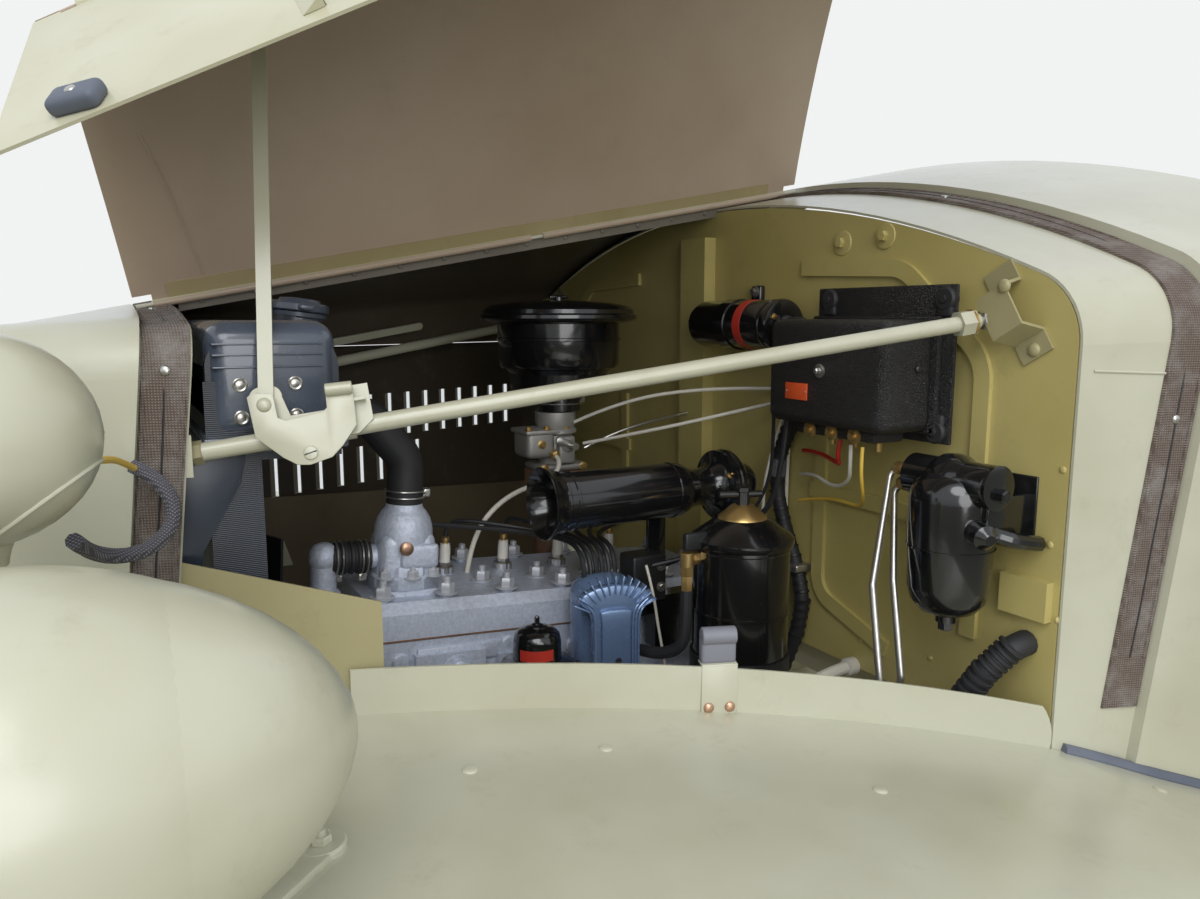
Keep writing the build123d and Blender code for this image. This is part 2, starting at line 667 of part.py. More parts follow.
head = block(0, engine_length, -head_half, head_half, 0.3, head_height)
head = chamfer(head.edges().filter_by(Axis.X).group_by(Axis.Z)[-1], 14)
plug_count = 6
plug_y = 25
for index in range(plug_count):
    x = 52 + index * 96
    head += bar((x, plug_y, head_height - 2), (x, plug_y, head_height + 10), 13)
    head += bar((x, plug_y, head_height + 8), (x, plug_y, head_height + 46), 7)
for index in range(7):
    x = 20 + index * 90.5
    for y in (-92, 92):
        head += bar((x, y, head_height - 20), (x, y, head_height + 6), 10)
head += block(20, 105, -80, 0, head_height - 4, head_height + 8)
save("cylinder_head", head.moved(engine_place))

sump_top = -block_depth - 0.3
sump_face = outline((-130, sump_top), (130, sump_top), (118, sump_top - 130), (60, sump_top - 155),
                    (-60, sump_top - 155), (-118, sump_top - 130))
save("sump", along_x(sump_face, 80, engine_length - 20).moved(engine_place))

bell_face = outline((0, 0.3), (185, 0.3), (185, 30), (165, 60), (135, 158), (0, 158))
bell = turned(bell_face, (engine_length, 0, -crank_drop), (1, 0, 0)).moved(engine_place)
for side in (-1, 1):
    y0, y1 = sorted((side * 150, side * (rail_centre + 25)))
    bell += block(-560, -510, y0, y1, 0.3, 22)
save("bell_housing", bell)

# Water outlet on the head, hoses, pump, fan, belt and generator
outlet_x = 62
outlet_y = -40
outlet_seat = head_height + 8.3
outlet_face = outline((0, 0), (42, 0), (42, 12), (35, 16), (35, 62), (28, 78), (24, 84), (24, 116), (0, 116))
water_outlet = turned(outlet_face, (outlet_x, outlet_y, outlet_seat), (0, 0, 1))
water_outlet += bar((outlet_x, outlet_y, outlet_seat + 42), (outlet_x - 62, outlet_y, outlet_seat + 42), 15)
save("water_outlet", water_outlet.moved(engine_place))
hose_low = (engine_place * Location((outlet_x, outlet_y, outlet_seat + 116.3))).position
hose_start = outlet_end + Vector(0.3, 0, -0.1)
save("upper_hose", bent([hose_start, hose_start + Vector(66, 0, -21), hose_low + Vector(4, 0, 62), hose_low], 25, 40))

pump = block(-62, -26.3, -48, 48, fan_hub - 90, fan_hub + 34)
pump += bar((pulley_rear + 0.3, 0, fan_hub), (-61, 0, fan_hub), 34)
riser_x = -47
pump += bar((riser_x, outlet_y, fan_hub + 30), (riser_x, outlet_y, outlet_seat + 42), 14)
pump += bar((riser_x, outlet_y, outlet_seat + 42), (riser_x + 20, outlet_y, outlet_seat + 42), 14)
pump = pump.moved(engine_place)
save("water_pump", pump)
bypass = bar((riser_x + 20.3, outlet_y, outlet_seat + 42), (outlet_x - 62.3, outlet_y, outlet_seat + 42), 17)
save("bypass_hose", bypass.moved(engine_place))

pump_inlet = (engine_place * Location((-44, 48.3, fan_hub - 60))).position
drain_start = drain_end + Vector(0.3, 0, 0)
save("lower_hose", bent([drain_start, (pump_inlet.X, 285, 128), (pump_inlet.X, 165, 108),
                         pump_inlet + Vector(0, 62, 0), pump_inlet], 18, 24))

fan = bar((fan_place - 10, 0, fan_hub), (pulley_front + 1, 0, fan_hub), 40)
fan += pulley(fan_pulley).moved(Location((0, 0, fan_hub)))
blade_count = 6
for index in range(blade_count):
    blade = Box(4, 60, fan_radius - 34, align=(Align.CENTER, Align.CENTER, Align.MIN))
    blade = blade.rotate(Axis.Z, 25).moved(Location((0, 0, 34)))
    blade = blade.rotate(Axis.X, index * 360 / blade_count)
    fan += blade.moved(Location((fan_place, 0, fan_hub)))
save("fan", fan.moved(engine_place))

belt_rounds = [(0, fan_hub, fan_pulley), (0, -crank_drop, crank_pulley), (generator_y, generator_z, generator_pulley)]


def belt_loop(depth):
    """Face inside the belt's run, set in by depth from the pulley rims."""
    rounds = [Pos(y, z) * Circle(radius - depth) for y, z, radius in belt_rounds]
    edges = [edge for piece in rounds for edge in piece.edges()]
    return make_hull(edges)


belt = along_x(belt_loop(0) - belt_loop(8), pulley_front + 4.6, pulley_front + 11.4)
save("fan_belt", belt.moved(engine_place))

generator = bar((30, generator_y, generator_z), (262, generator_y, generator_z), generator_radius)
generator += bar((pulley_rear - 1, generator_y, generator_z), (31, generator_y, generator_z), 12)
generator += pulley(generator_pulley).moved(Location((0, generator_y, generator_z)))
generator += block(70, 210, 135.3, 190, generator_z - 75, generator_z - 40)
save("generator", generator.moved(engine_place))

# Manifold on the right side with its riser, carburettor and air cleaner
manifold = block(25, 555, head_half + 12, 180, -58, -14)
manifold = fillet(manifold.edges().filter_by(Axis.X), 12)
for index in range(4):
    x = 40 + index * 160
    manifold += block(x, x + 36, head_half + 0.3, head_half + 16, -54, -18)
manifold += bar((455, 155, -40), (455, 175, -330), 24)
manifold = manifold.moved(engine_place)
carburettor_place = Vector(-788, 110, 492)
manifold += bar((carburettor_place.X, 168, 268), carburettor_place - Vector(0, 0, 20), 24)
manifold += block(carburettor_place.X - 42, carburettor_place.X + 42, 74, 146,
                  carburettor_place.Z - 28, carburettor_place.Z - 0.3)
save("manifold", manifold)
carburettor_height = 100
carburettor = bar(carburettor_place, carburettor_place + Vector(0, 0, carburettor_height), 34)
carburettor += block(carburettor_place.X - 44, carburettor_place.X + 44, 76, 144,
                     carburettor_place.Z, carburettor_place.Z + 14)
carburettor += block(carburettor_place.X - 62, carburettor_place.X - 10, 80, 138,
                     carburettor_place.Z + 22, carburettor_place.Z + 78)
save("carburettor", carburettor)
cleaner_base = carburettor_place + Vector(8, 0, carburettor_height + 0.3)
cleaner_face = outline((0, 0), (36, 0), (36, 34), (82, 34), (82, 70), (102, 78), (102, 150), (129, 156), (129, 172),
                       crown(129, 172, 14))
save("air_cleaner", turned(cleaner_face, cleaner_base, (0, 0, 1)))

# Horn above the head, on a bracket
horn_axis = Vector(-945, -164, 496)
horn_face = outline((0, 12), (44, 0), (50, 0), ((40, 16), (37, 42)), (37, 250), (30, 262), (30, 286), (51, 292),
                    (51, 318), (34, 330), (30, 352), (0, 352))
horn = turned(horn_face, horn_axis, (1, 0, 0))
horn += block(-762, -730, -147, -142, 345, 480)
horn += block(-762, -730, -144, -100, 345, 350)
save("horn", horn)

# Oil filter, ignition cover, filler and fuel pump on the left side
filter_face = outline((0, 0), (40, 0), (66, 14), (66, 205), (70, 207), (70, 217), (66, 219), (66, 268),
                      crown(66, 268, 25))
save("oil_filter", turned(filter_face, filter_place, (0, 0, 1)))
cover_face = outline((0, 0), (24, 0), (24, 16), (57, 20), (57, 110), ((48, 146), (20, 166)), (0, 166))
save("ignition_cover", turned(cover_face, cover_place, (0, 0, 1)))
filler_face = outline((0, 0), (46, 0), (50, 6), (50, 40), ((47, 50), (38, 55)), crown(38, 55, 9))
save("oil_filler", turned(filler_face, filler_place, (0, 0, 1)))
fuel_pump = block(-758, -666, -165, -136, 256, 336) + bar((-712, -140, 262), (-712, -118.4, 262), 24)
save("fuel_pump", fuel_pump)

# Coil, regulator and fuel filter on the bulkhead
coil = bar((-590, -242, 738), (-590, -42, 738), 37)
coil += bar((-590, -42.5, 738), (-590, -20, 738), 15)
coil += pipe((-590, -214, 738), (-590, -178, 738), 39.5, 30)
coil += block(-590, bulkhead_x - 0.3, -214, -178, 772, 777.5)
coil += block(bulkhead_x - 3.3, bulkhead_x - 0.3, -214, -178, 745, 800)
save("ignition_coil", coil)

regulator = block(-660, -568, -501, -291, 611, 744)
regulator += block(-569, -564, -522, -288, 596, 788)
for y, z in ((-312, 773), (-508, 771), (-503, 610), (-310, 610)):
    regulator += bar((-566, y, z), (bulkhead_x - 0.3, y, z), 11)
regulator += block(-640, -590, -470, -330, 596, 612)
save("regulator", regulator)

fuel_axis = Vector(-611, -567, 392)
fuel_face = outline((0, 0), (12, 0), (12, 22), (34, 26), (45, 44), (45, 94), (49, 96), (49, 150),
                    ((46, 168), (36, 180)), crown(36, 180, 9))
fuel_filter = turned(fuel_face, fuel_axis, (0, 0, 1))
fuel_filter += bar((fuel_axis.X, fuel_axis.Y - 58, 564), (fuel_axis.X, fuel_axis.Y + 60, 564), 25)
fuel_filter += block(fuel_axis.X - 10, bulkhead_x - 0.3, fuel_axis.Y - 56, fuel_axis.Y - 40, 500, 556)
fuel_filter += block(bulkhead_x - 3.3, bulkhead_x - 0.3, fuel_axis.Y - 60, fuel_axis.Y, 490, 570)
save("fuel_filter", fuel_filter)

# Pipes and cords: fuel pipes down to the rail, breather hose and loom down the bulkhead
pipes = []
for shift, drop in ((0, 568), (34, 548)):
    union = Vector(fuel_axis.X - 6 + shift * 0.2, fuel_axis.Y + 60.4, drop)
    pipes.append(bent([union, union + Vector(0, 28, 0), (-690 + shift, -526, 440), (-702 + shift, -556, 330),
                       (-690 + shift, rail_out - 4.3, 130), (-690 + shift, rail_out - 4.3, -60)], 4, 12))
save("fuel_pipes", Compound(pipes))
save("breather_hose", bent([(bulkhead_x - 0.3, -628, 378), (-584, -628, 378), (-600, -585, 300), (-600, -540, 200)],
                           16, 20))
loom = bent([(-600, -290.6, 640), (-600, -262, 640), (-562, -238, 590), (-562, -238, 240), (-620, -238, 150)], 11, 16)
save("wiring_loom", loom)
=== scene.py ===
import math
import bpy
from mathutils import Matrix, Vector


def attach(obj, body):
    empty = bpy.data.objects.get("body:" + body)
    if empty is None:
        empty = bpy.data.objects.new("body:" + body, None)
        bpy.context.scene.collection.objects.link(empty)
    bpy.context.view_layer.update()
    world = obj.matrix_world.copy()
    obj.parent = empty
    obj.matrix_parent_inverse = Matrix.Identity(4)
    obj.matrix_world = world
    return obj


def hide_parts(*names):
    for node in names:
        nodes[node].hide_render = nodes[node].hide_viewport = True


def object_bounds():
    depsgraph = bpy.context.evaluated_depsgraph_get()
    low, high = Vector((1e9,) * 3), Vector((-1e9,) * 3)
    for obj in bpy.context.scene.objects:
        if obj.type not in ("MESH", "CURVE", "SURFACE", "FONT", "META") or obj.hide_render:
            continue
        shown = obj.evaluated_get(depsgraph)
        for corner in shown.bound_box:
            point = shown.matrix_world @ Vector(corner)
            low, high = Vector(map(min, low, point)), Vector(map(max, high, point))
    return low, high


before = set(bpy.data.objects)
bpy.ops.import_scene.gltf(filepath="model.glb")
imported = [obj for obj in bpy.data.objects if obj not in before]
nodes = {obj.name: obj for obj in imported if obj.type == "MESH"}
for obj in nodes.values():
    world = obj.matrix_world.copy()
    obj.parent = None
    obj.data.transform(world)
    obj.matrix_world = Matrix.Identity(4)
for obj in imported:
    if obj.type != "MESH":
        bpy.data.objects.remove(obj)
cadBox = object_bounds()
print("frame loaded")

front = "front_end"
topLeft = "bonnet_top_left_body"
sideLeft = "bonnet_side_left_body"


# Shader sums are written as expressions on sockets
class Value:
    def __init__(self, shader, socket):
        self.shader = shader
        self.socket = socket

    def combine(self, operation, first, second):
        return self.shader.node("ShaderNodeMath", {"operation": operation}, {0: first, 1: second})

    def __add__(self, other):
        return self.combine("ADD", self, other)

    def __radd__(self, other):
        return self.combine("ADD", other, self)

    def __sub__(self, other):
        return self.combine("SUBTRACT", self, other)

    def __rsub__(self, other):
        return self.combine("SUBTRACT", other, self)

    def __mul__(self, other):
        return self.combine("MULTIPLY", self, other)

    def __rmul__(self, other):
        return self.combine("MULTIPLY", other, self)


class Shader:
    def __init__(self, name):
        self.material = bpy.data.materials.new(name)
        self.material.use_nodes = True
        self.tree = self.material.node_tree
        self.surface = self.tree.nodes["Principled BSDF"]

    def node(self, kind, settings=None, values=None, output=0):
        made = self.tree.nodes.new(kind)
        for key, value in (settings or {}).items():
            setattr(made, key, value)
        for key, value in (values or {}).items():
            self.feed(made.inputs[key], value)
        return Value(self, made.outputs[output])

    def feed(self, target, value):
        if isinstance(value, Value):
            self.tree.links.new(value.socket, target)
        elif isinstance(value, tuple) and len(value) == 3 and target.type == "RGBA":
            target.default_value = (*value, 1)
        else:
            target.default_value = value

    def place(self, turn=(0, 0, 0)):
        coords = self.node("ShaderNodeTexCoord", output="Object")
        return self.node("ShaderNodeMapping", None, {"Vector": coords, "Rotation": turn})

    def noise(self, scale, detail=4, rough=0.55):
        return self.node("ShaderNodeTexNoise", None,
                         {"Vector": self.place(), "Scale": scale, "Detail": detail, "Roughness": rough})

    def wave(self, direction, scale, turn=(0, 0, 0), **more):
        return self.node("ShaderNodeTexWave", {"bands_direction": direction},
                         {"Vector": self.place(turn), "Scale": scale, **more})

    def band(self, value, low, high):
        return self.node("ShaderNodeMapRange", None,
                         {"Value": value, "From Min": low, "From Max": high, "To Min": 0.0, "To Max": 1.0})

    def mix(self, first, second, factor):
        return self.node("ShaderNodeMix", {"data_type": "RGBA"}, {0: factor, 6: first, 7: second}, 2)

    def bump(self, height, strength, distance):
        return self.node("ShaderNodeBump", None, {"Height": height, "Strength": strength,
            "Distance": distance})

    def set(self, **values):
        for key, value in values.items():
            self.feed(self.surface.inputs[key.replace("_", " ")], value)
        return self.material


def shade(red, green, blue):  # a colour given as it shows on screen, 0 to 255
    return tuple(((part / 255 + 0.055) / 1.055) ** 2.4 if part > 10 else part / 3294
        for part in (red, green, blue))


paints = {
    "olivePaint": dict(colour=(172, 170, 147), faded=(184, 183, 163), dirt=(138, 132, 106), rough=0.42,
                       grain=0.25, coat=0.8, gloss=0.24),
    "hingeOlive": dict(colour=(150, 136, 96), faded=(162, 148, 110), dirt=(112, 98, 70), rough=0.5,
                       grain=0.3),
    "hingeGrey": dict(colour=(104, 98, 88), faded=(120, 114, 102), dirt=(70, 64, 54), rough=0.5, grain=0.5),
    "oliveInside": dict(colour=(172, 159, 96), faded=(181, 168, 108), dirt=(118, 104, 70), rough=0.42,
                        grain=0.3, coat=0.2),
    "oliveRail": dict(colour=(130, 123, 92), faded=(142, 135, 104), dirt=(78, 68, 48), rough=0.66,
                      grain=0.6),
    "engineSilver": dict(colour=(172, 175, 180), faded=(202, 204, 208), dirt=(104, 98, 90), rough=0.4,
                         grain=1.0, metallic=0.4),
    "shadowOlive": dict(colour=(92, 82, 62), faded=(102, 92, 72), dirt=(60, 52, 38), rough=0.6, grain=0.4),
    "blackGloss": dict(colour=(16, 16, 17), faded=(24, 24, 25), dirt=(42, 38, 33), rough=0.16, grain=0.15,
                       coat=0.5),
    "blackSatin": dict(colour=(24, 24, 25), faded=(34, 34, 35), dirt=(60, 54, 46), rough=0.42, grain=0.5),
    "radiatorBlue": dict(colour=(30, 36, 46), faded=(46, 53, 64), dirt=(70, 68, 62), rough=0.3, grain=0.4),
    "tankBlue": dict(colour=(58, 64, 74), faded=(84, 92, 106), dirt=(96, 92, 84), rough=0.26, grain=0.5,
                     coat=0.5),
    "darkRubber": dict(colour=(27, 27, 29), faded=(40, 40, 42), dirt=(66, 60, 52), rough=0.62, grain=0.8),
    "blueRubber": dict(colour=(74, 80, 92), faded=(96, 102, 114), dirt=(60, 60, 60), rough=0.6, grain=0.5),
    "greyRubber": dict(colour=(98, 99, 107), faded=(118, 119, 128), dirt=(78, 76, 74), rough=0.5,
                       grain=0.4),
    # olive paint darkened as painted shade, for the braces, the stay brackets and their bolts
    "olivePaintedShade": dict(colour=(146, 138, 100), faded=(158, 150, 112), dirt=(110, 100, 70), rough=0.45,
                       grain=0.3, coat=0.2),
    "dullCasting": dict(colour=(142, 140, 134), faded=(166, 164, 158), dirt=(84, 78, 70), rough=0.5,
                        grain=1.6, metallic=0.6),
    "rustyIron": dict(colour=(92, 70, 56), faded=(118, 84, 60), dirt=(52, 42, 36), rough=0.85, grain=2.0),
    "bareSteel": dict(colour=(172, 170, 164), faded=(192, 190, 184), dirt=(110, 100, 86), rough=0.3,
                      grain=0.5, metallic=0.9),
    "copper": dict(colour=(178, 142, 116), faded=(194, 158, 132), dirt=(112, 88, 70), rough=0.35,
                   grain=0.4, metallic=0.85),
    "brass": dict(colour=(186, 152, 92), faded=(204, 174, 116), dirt=(116, 92, 52), rough=0.32, grain=0.4,
                  metallic=0.85),
    # dark navy enamel painted light blue: a painted reflection of the sky on the cover
    "coverBluePaintedSheen": dict(colour=(104, 127, 163), faded=(124, 148, 184), dirt=(50, 58, 70), rough=0.26,
                      grain=0.5, coat=0.6, metallic=0.4),
    "redLabel": dict(colour=(170, 44, 34), faded=(192, 62, 46), dirt=(110, 34, 28), rough=0.4, grain=0.2),
    "orangePlate": dict(colour=(196, 74, 34), faded=(212, 92, 48), dirt=(120, 50, 30), rough=0.35,
                        grain=0.2),
    "paleCable": dict(colour=(196, 192, 178), faded=(212, 208, 196), dirt=(140, 132, 116), rough=0.5,
                      grain=0.2),
    "yellowCable": dict(colour=(206, 170, 62), faded=(220, 188, 90), dirt=(140, 112, 50), rough=0.5,
                        grain=0.2),
    "redCable": dict(colour=(186, 40, 30), faded=(204, 60, 46), dirt=(110, 30, 26), rough=0.45, grain=0.2),
    "plugClay": dict(colour=(206, 202, 192), faded=(222, 219, 210), dirt=(120, 104, 84), rough=0.3,
                     grain=0.2),
    "blackCable": dict(colour=(22, 22, 23), faded=(34, 34, 36), dirt=(50, 46, 40), rough=0.5, grain=0.3),
}


def paintFinish(name, look):  # paint or metal with patches, dirt in places and a fine grain
    shader = Shader(name)
    patches = shader.band(shader.noise(5, 3), 0.35, 0.65)
    colour = shader.mix(shade(*look["colour"]), shade(*look["faded"]), patches)
    specks = shader.noise(90, 6, 0.7)
    dirt = shader.band(shader.noise(17, 8, 0.68), 0.56, 0.78) * shader.band(specks, 0.35, 0.7)
    colour = shader.mix(colour, shade(*look["dirt"]), dirt * 0.5)
    rough = look["rough"] + (specks - 0.5) * 0.12 + dirt * 0.18
    fine = shader.noise(520, 3, 0.6)
    broad = shader.noise(7, 2, 0.4)
    height = fine * look["grain"] + broad * 1.4
    return shader.set(Base_Color=colour, Roughness=rough, Metallic=look.get("metallic", 0.0),
                      Coat_Weight=look.get("coat", 0.0), Coat_Roughness=look.get("gloss", 0.06),
                      Normal=shader.bump(height, 0.35, 0.0006))


def paintedShadeBonnetFinish(name, inward, depth):  # pale outside; the faces that look inwards get painted shade, browner and darker
    shader = Shader(name)
    facing = shader.node("ShaderNodeVectorMath", {"operation": "DOT_PRODUCT"},
                         {0: shader.node("ShaderNodeTexCoord", output="Normal"), 1: inward}, output="Value")
    innerShadeMask = shader.band(facing, 0.25, 0.45)
    patches = shader.band(shader.noise(4, 3), 0.35, 0.65)
    outside = shader.mix(shade(178, 174, 146), shade(190, 188, 164), patches)
    # painted shade: the inner faces get this browner colour, darkened further by depth
    inside = shader.mix(*(shade(*(part * depth for part in tone))
        for tone in ((166, 147, 126), (174, 156, 136))), patches)
    colour = shader.mix(outside, inside, innerShadeMask)
    dust = shader.band(shader.noise(21, 8, 0.7), 0.55, 0.8)
    colour = shader.mix(colour, shade(142, 132, 110), dust * 0.25)
    height = shader.noise(520, 3, 0.6) * 0.25 + shader.noise(6, 2, 0.4) * 1.6
    return shader.set(Base_Color=colour, Roughness=0.42 + dust * 0.2, Coat_Weight=0.2, Coat_Roughness=0.1,
                      Normal=shader.bump(height, 0.35, 0.0006))


def crackleFinish():  # wrinkle paint
    shader = Shader("blackCrackle")
    cells = shader.node("ShaderNodeTexVoronoi", {"feature": "DISTANCE_TO_EDGE"}, {"Vector": shader.place(),
        "Scale": 420})
    height = shader.band(cells, 0.0, 0.25) + shader.noise(900, 2) * 0.3
    colour = shader.mix(shade(14, 14, 15), shade(44, 43, 42), shader.band(cells, 0.05, 0.3))
    return shader.set(Base_Color=colour, Roughness=0.32 + shader.noise(30) * 0.2,
                      Normal=shader.bump(height, 0.8, 0.0008))


def castFinish():  # sprayed rough casting
    shader = Shader("castSilver")
    lumps = shader.noise(170, 6, 0.7)
    fine = shader.noise(900, 3, 0.6)
    stain = shader.band(shader.noise(9, 6, 0.7), 0.52, 0.8)
    colour = shader.mix(shade(180, 187, 202), shade(214, 221, 234), shader.band(lumps, 0.3, 0.7))
    colour = shader.mix(colour, shade(112, 100, 88), stain * 0.5)
    return shader.set(Base_Color=colour, Roughness=0.4 + stain * 0.3 + (fine - 0.5) * 0.2, Metallic=0.35,
                      Normal=shader.bump(lumps * 1.0 + fine * 0.4, 0.7, 0.0016))


def webbingFinish():  # woven strip, ribs run along the object
    shader = Shader("wovenStrip")
    weave = shader.wave("X", 120, Distortion=0.6, Detail=2.0) * shader.wave("Z", 120, Distortion=0.6,
        Detail=2.0)
    wear = shader.band(shader.noise(26, 6, 0.7), 0.45, 0.75)
    colour = shader.mix(shade(86, 75, 68), shade(142, 127, 116), weave)
    colour = shader.mix(colour, shade(166, 164, 160), wear * 0.45)
    return shader.set(Base_Color=colour, Roughness=0.85, Normal=shader.bump(weave + wear * 0.3, 0.9, 0.0012))


def braidFinish():  # woven conduit
    shader = Shader("greyBraid")
    weave = shader.wave("DIAGONAL", 160) * shader.wave("DIAGONAL", 160, (0, math.pi / 2, 0))
    colour = shader.mix(shade(62, 62, 68), shade(136, 134, 142), weave)
    return shader.set(Base_Color=colour, Roughness=0.7, Normal=shader.bump(weave, 0.8, 0.001))


def glassFinish():  # fluted lamp glass, painted pale: a painted reflection that stands for the bright reflector behind it
    shader = Shader("lampGlass")
    flutes = shader.wave("Y", 26)
    haze = shader.noise(30)
    colour = shader.mix(shade(206, 212, 214), shade(232, 236, 236), haze)
    return shader.set(Base_Color=colour, Roughness=0.12 + haze * 0.1, Metallic=0.15,
                      Coat_Weight=0.6, Normal=shader.bump(flutes, 0.5, 0.002))


def coreFinish():  # radiator: dark tanks, fins on the core face
    shader = Shader("radiatorCore")
    fins = shader.wave("Z", 160)
    tubes = shader.wave("Y", 26)
    patches = shader.noise(7, 5, 0.65)
    dust = shader.band(shader.noise(14, 7, 0.7), 0.5, 0.8)
    colour = shader.mix(shade(19, 24, 33), shade(36, 43, 54), patches)
    colour = shader.mix(colour, shade(90, 88, 82), dust * 0.2)
    return shader.set(Base_Color=colour, Roughness=0.3 + dust * 0.3,
                      Normal=shader.bump(fins * tubes * 0.4 + patches * 0.5, 0.5, 0.0012))


finishes = {name: paintFinish(name, look) for name, look in paints.items()}
bonnetLooks = {  # which way each panel's inner face looks, and how light its painted shade is; the right panels are painted darker
    "bonnetTopLeft": ((0.05, -0.89, -0.46), 1.0),
    "bonnetTopRight": ((0.08, -0.45, -0.89), 0.5),
    "bonnetSideLeft": ((0.53, 0.45, -0.72), 1.0),
    "bonnetSideRight": ((0.3, -0.95, 0.0), 0.36),
}
for name, (inward, depth) in bonnetLooks.items():
    finishes[name] = paintedShadeBonnetFinish(name, inward, depth)
for special in (crackleFinish, castFinish, webbingFinish, braidFinish, glassFinish, coreFinish):
    finish = special()
    finishes[finish.name] = finish

nodeFinishes = {
    "bonnetTopLeft": ["bonnet_top_left"],
    "bonnetTopRight": ["bonnet_top_right"],
    "bonnetSideLeft": ["bonnet_side_left"],
    "bonnetSideRight": ["bonnet_side_right"],
    "olivePaint": ["cowl", "radiator_shell", "grille", "bonnet_hinge", "prop_rod_left", "prop_rod_right",
                   "prop_brackets", "stay_rod_left", "stay_rod_right", "wing_left", "wing_right",
                   "headlamp_left", "headlamp_right", "driving_lamp"],
    "oliveInside": ["bulkhead"],
    "olivePaintedShade": ["stay_brackets", "wing_braces"],
    "oliveRail": ["frame_rail_left", "frame_rail_right", "cross_member_front", "cross_member_engine",
                  "cross_member_rear"],
    "castSilver": ["engine_block", "cylinder_head", "bell_housing", "water_pump", "water_outlet"],
    "engineSilver": ["sump"],
    "blackGloss": ["horn", "oil_filter", "fuel_filter", "oil_filler", "fuel_pump", "air_cleaner"],
    "blackSatin": ["fan", "generator", "ignition_coil"],
    "blackCrackle": ["regulator"],
    "radiatorCore": ["radiator"],
    "radiatorBlue": ["radiator_cap"],
    "darkRubber": ["upper_hose", "lower_hose", "bypass_hose", "fan_belt", "breather_hose", "wiring_loom"],
    "blueRubber": ["bonnet_catches"],
    "dullCasting": ["carburettor"],
    "rustyIron": ["manifold"],
    "bareSteel": ["fuel_pipes"],
    "wovenStrip": ["cowl_webbing", "shell_webbing"],
    "coverBluePaintedSheen": ["ignition_cover"],
    "lampGlass": ["headlamp_glass"],
}
for finishName, members in nodeFinishes.items():
    for member in members:
        mesh = nodes[member].data
        mesh.materials.clear()
        mesh.materials.append(finishes[finishName])
print("finishes made")


slotFinishes = {  # the slot named for each finish; hand() looks it up but gives it to no piece
    "black_paint": ["blackGloss", "blackSatin"],
    "steel": ["brass", "bareSteel", "copper", "engineSilver"],
    "olive": ["oliveRail", "olivePaint", "olivePaintedShade", "oliveInside"],
    "crackle": ["blackCrackle"],
    "hose": ["darkRubber", "paleCable", "blackCable", "greyRubber", "greyBraid", "blueRubber"],
    "cover": ["orangePlate", "redLabel", "coverBluePaintedSheen"],
    "cast": ["dullCasting", "castSilver"],
    "iron": ["rustyIron"],
    "glass": ["plugClay"],
    "olive_rail": ["hingeGrey", "shadowOlive"],
    "radiator_paint": ["tankBlue", "radiatorBlue"],
    "strip": ["wovenStrip"],
}
usualSlots = {finish: slot for slot, members in slotFinishes.items() for finish in members}


# Hand tools: each piece is added, shaped in edit mode, set down, given its finish and its body
smoothAngle = math.radians(35)
seamGap = 0.00002
quarterTurn = math.radians(90)


def clearPick():
    if bpy.context.object and bpy.context.object.mode != "OBJECT":
        bpy.ops.object.mode_set(mode="OBJECT")
    bpy.ops.object.select_all(action="DESELECT")


def alone(piece):  # only this piece selected and active
    clearPick()
    piece.select_set(True)
    bpy.context.view_layer.objects.active = piece


def carry(piece, matrix):  # move a piece by a matrix and apply it
    alone(piece)
    piece.matrix_world = matrix @ piece.matrix_world
    bpy.ops.object.transform_apply(location=True, rotation=True, scale=True)
    return piece


# turn +Z to a way, +X along, and set it down
def settle(piece, place=(0, 0, 0), way=(0, 0, 1), roll=0, along=None):
    if along:
        up = Vector(way).normalized()
        across = up.cross(Vector(along)).normalized()
        turn = Matrix((across.cross(up), across, up)).transposed().to_4x4()
    else:
        turn = Vector((0, 0, 1)).rotation_difference(Vector(way)).to_matrix().to_4x4()
    turn = turn @ Matrix.Rotation(roll, 4, "Z")
    return carry(piece, Matrix.Translation(Vector(place)) @ turn)


def hand(piece, name, finish, body=front, slot=None):  # name it, paint it, fix it on its body
    piece.name = name
    piece.data.name = name
    alone(piece)
    bpy.ops.object.shade_smooth_by_angle(angle=smoothAngle)
    piece.data.materials.clear()
    piece.data.materials.append(finishes[finish])
    slot = slot or usualSlots[finish]
    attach(piece, body)
    return piece


# rings of (radius, height) drawn out one by one
def turned(rings, place=(0, 0, 0), way=(0, 0, 1), corners=32, roll=0):
    clearPick()
    radius, height = rings[0]
    bpy.ops.mesh.primitive_circle_add(vertices=corners, radius=radius, fill_type="NGON",
        location=(0, 0, height))
    piece = bpy.context.object
    bpy.ops.object.mode_set(mode="EDIT")
    for nextRadius, nextHeight in rings[1:]:
        bpy.ops.mesh.extrude_region_move(TRANSFORM_OT_translate={"value": (0, 0, nextHeight - height)})
        size = nextRadius / radius
        bpy.ops.transform.resize(value=(size, size, 1), center_override=(0, 0, nextHeight))
        radius, height = nextRadius, nextHeight
    bpy.ops.mesh.select_all(action="SELECT")
    bpy.ops.mesh.normals_make_consistent(inside=False)
    bpy.ops.object.mode_set(mode="OBJECT")
    return settle(piece, place, way, roll)


def spun(rings, *spot, **more):  # the same with the rings in millimetres
    return turned([(radius / 1000, height / 1000) for radius, height in rings], *spot, **more)


def modify(piece, kind, **settings):  # add a modifier and apply it
    alone(piece)
    added = piece.modifiers.new(kind.title(), kind)
    for key, value in settings.items():
        setattr(added, key, value)
    bpy.ops.object.modifier_apply(modifier=added.name)
    return piece


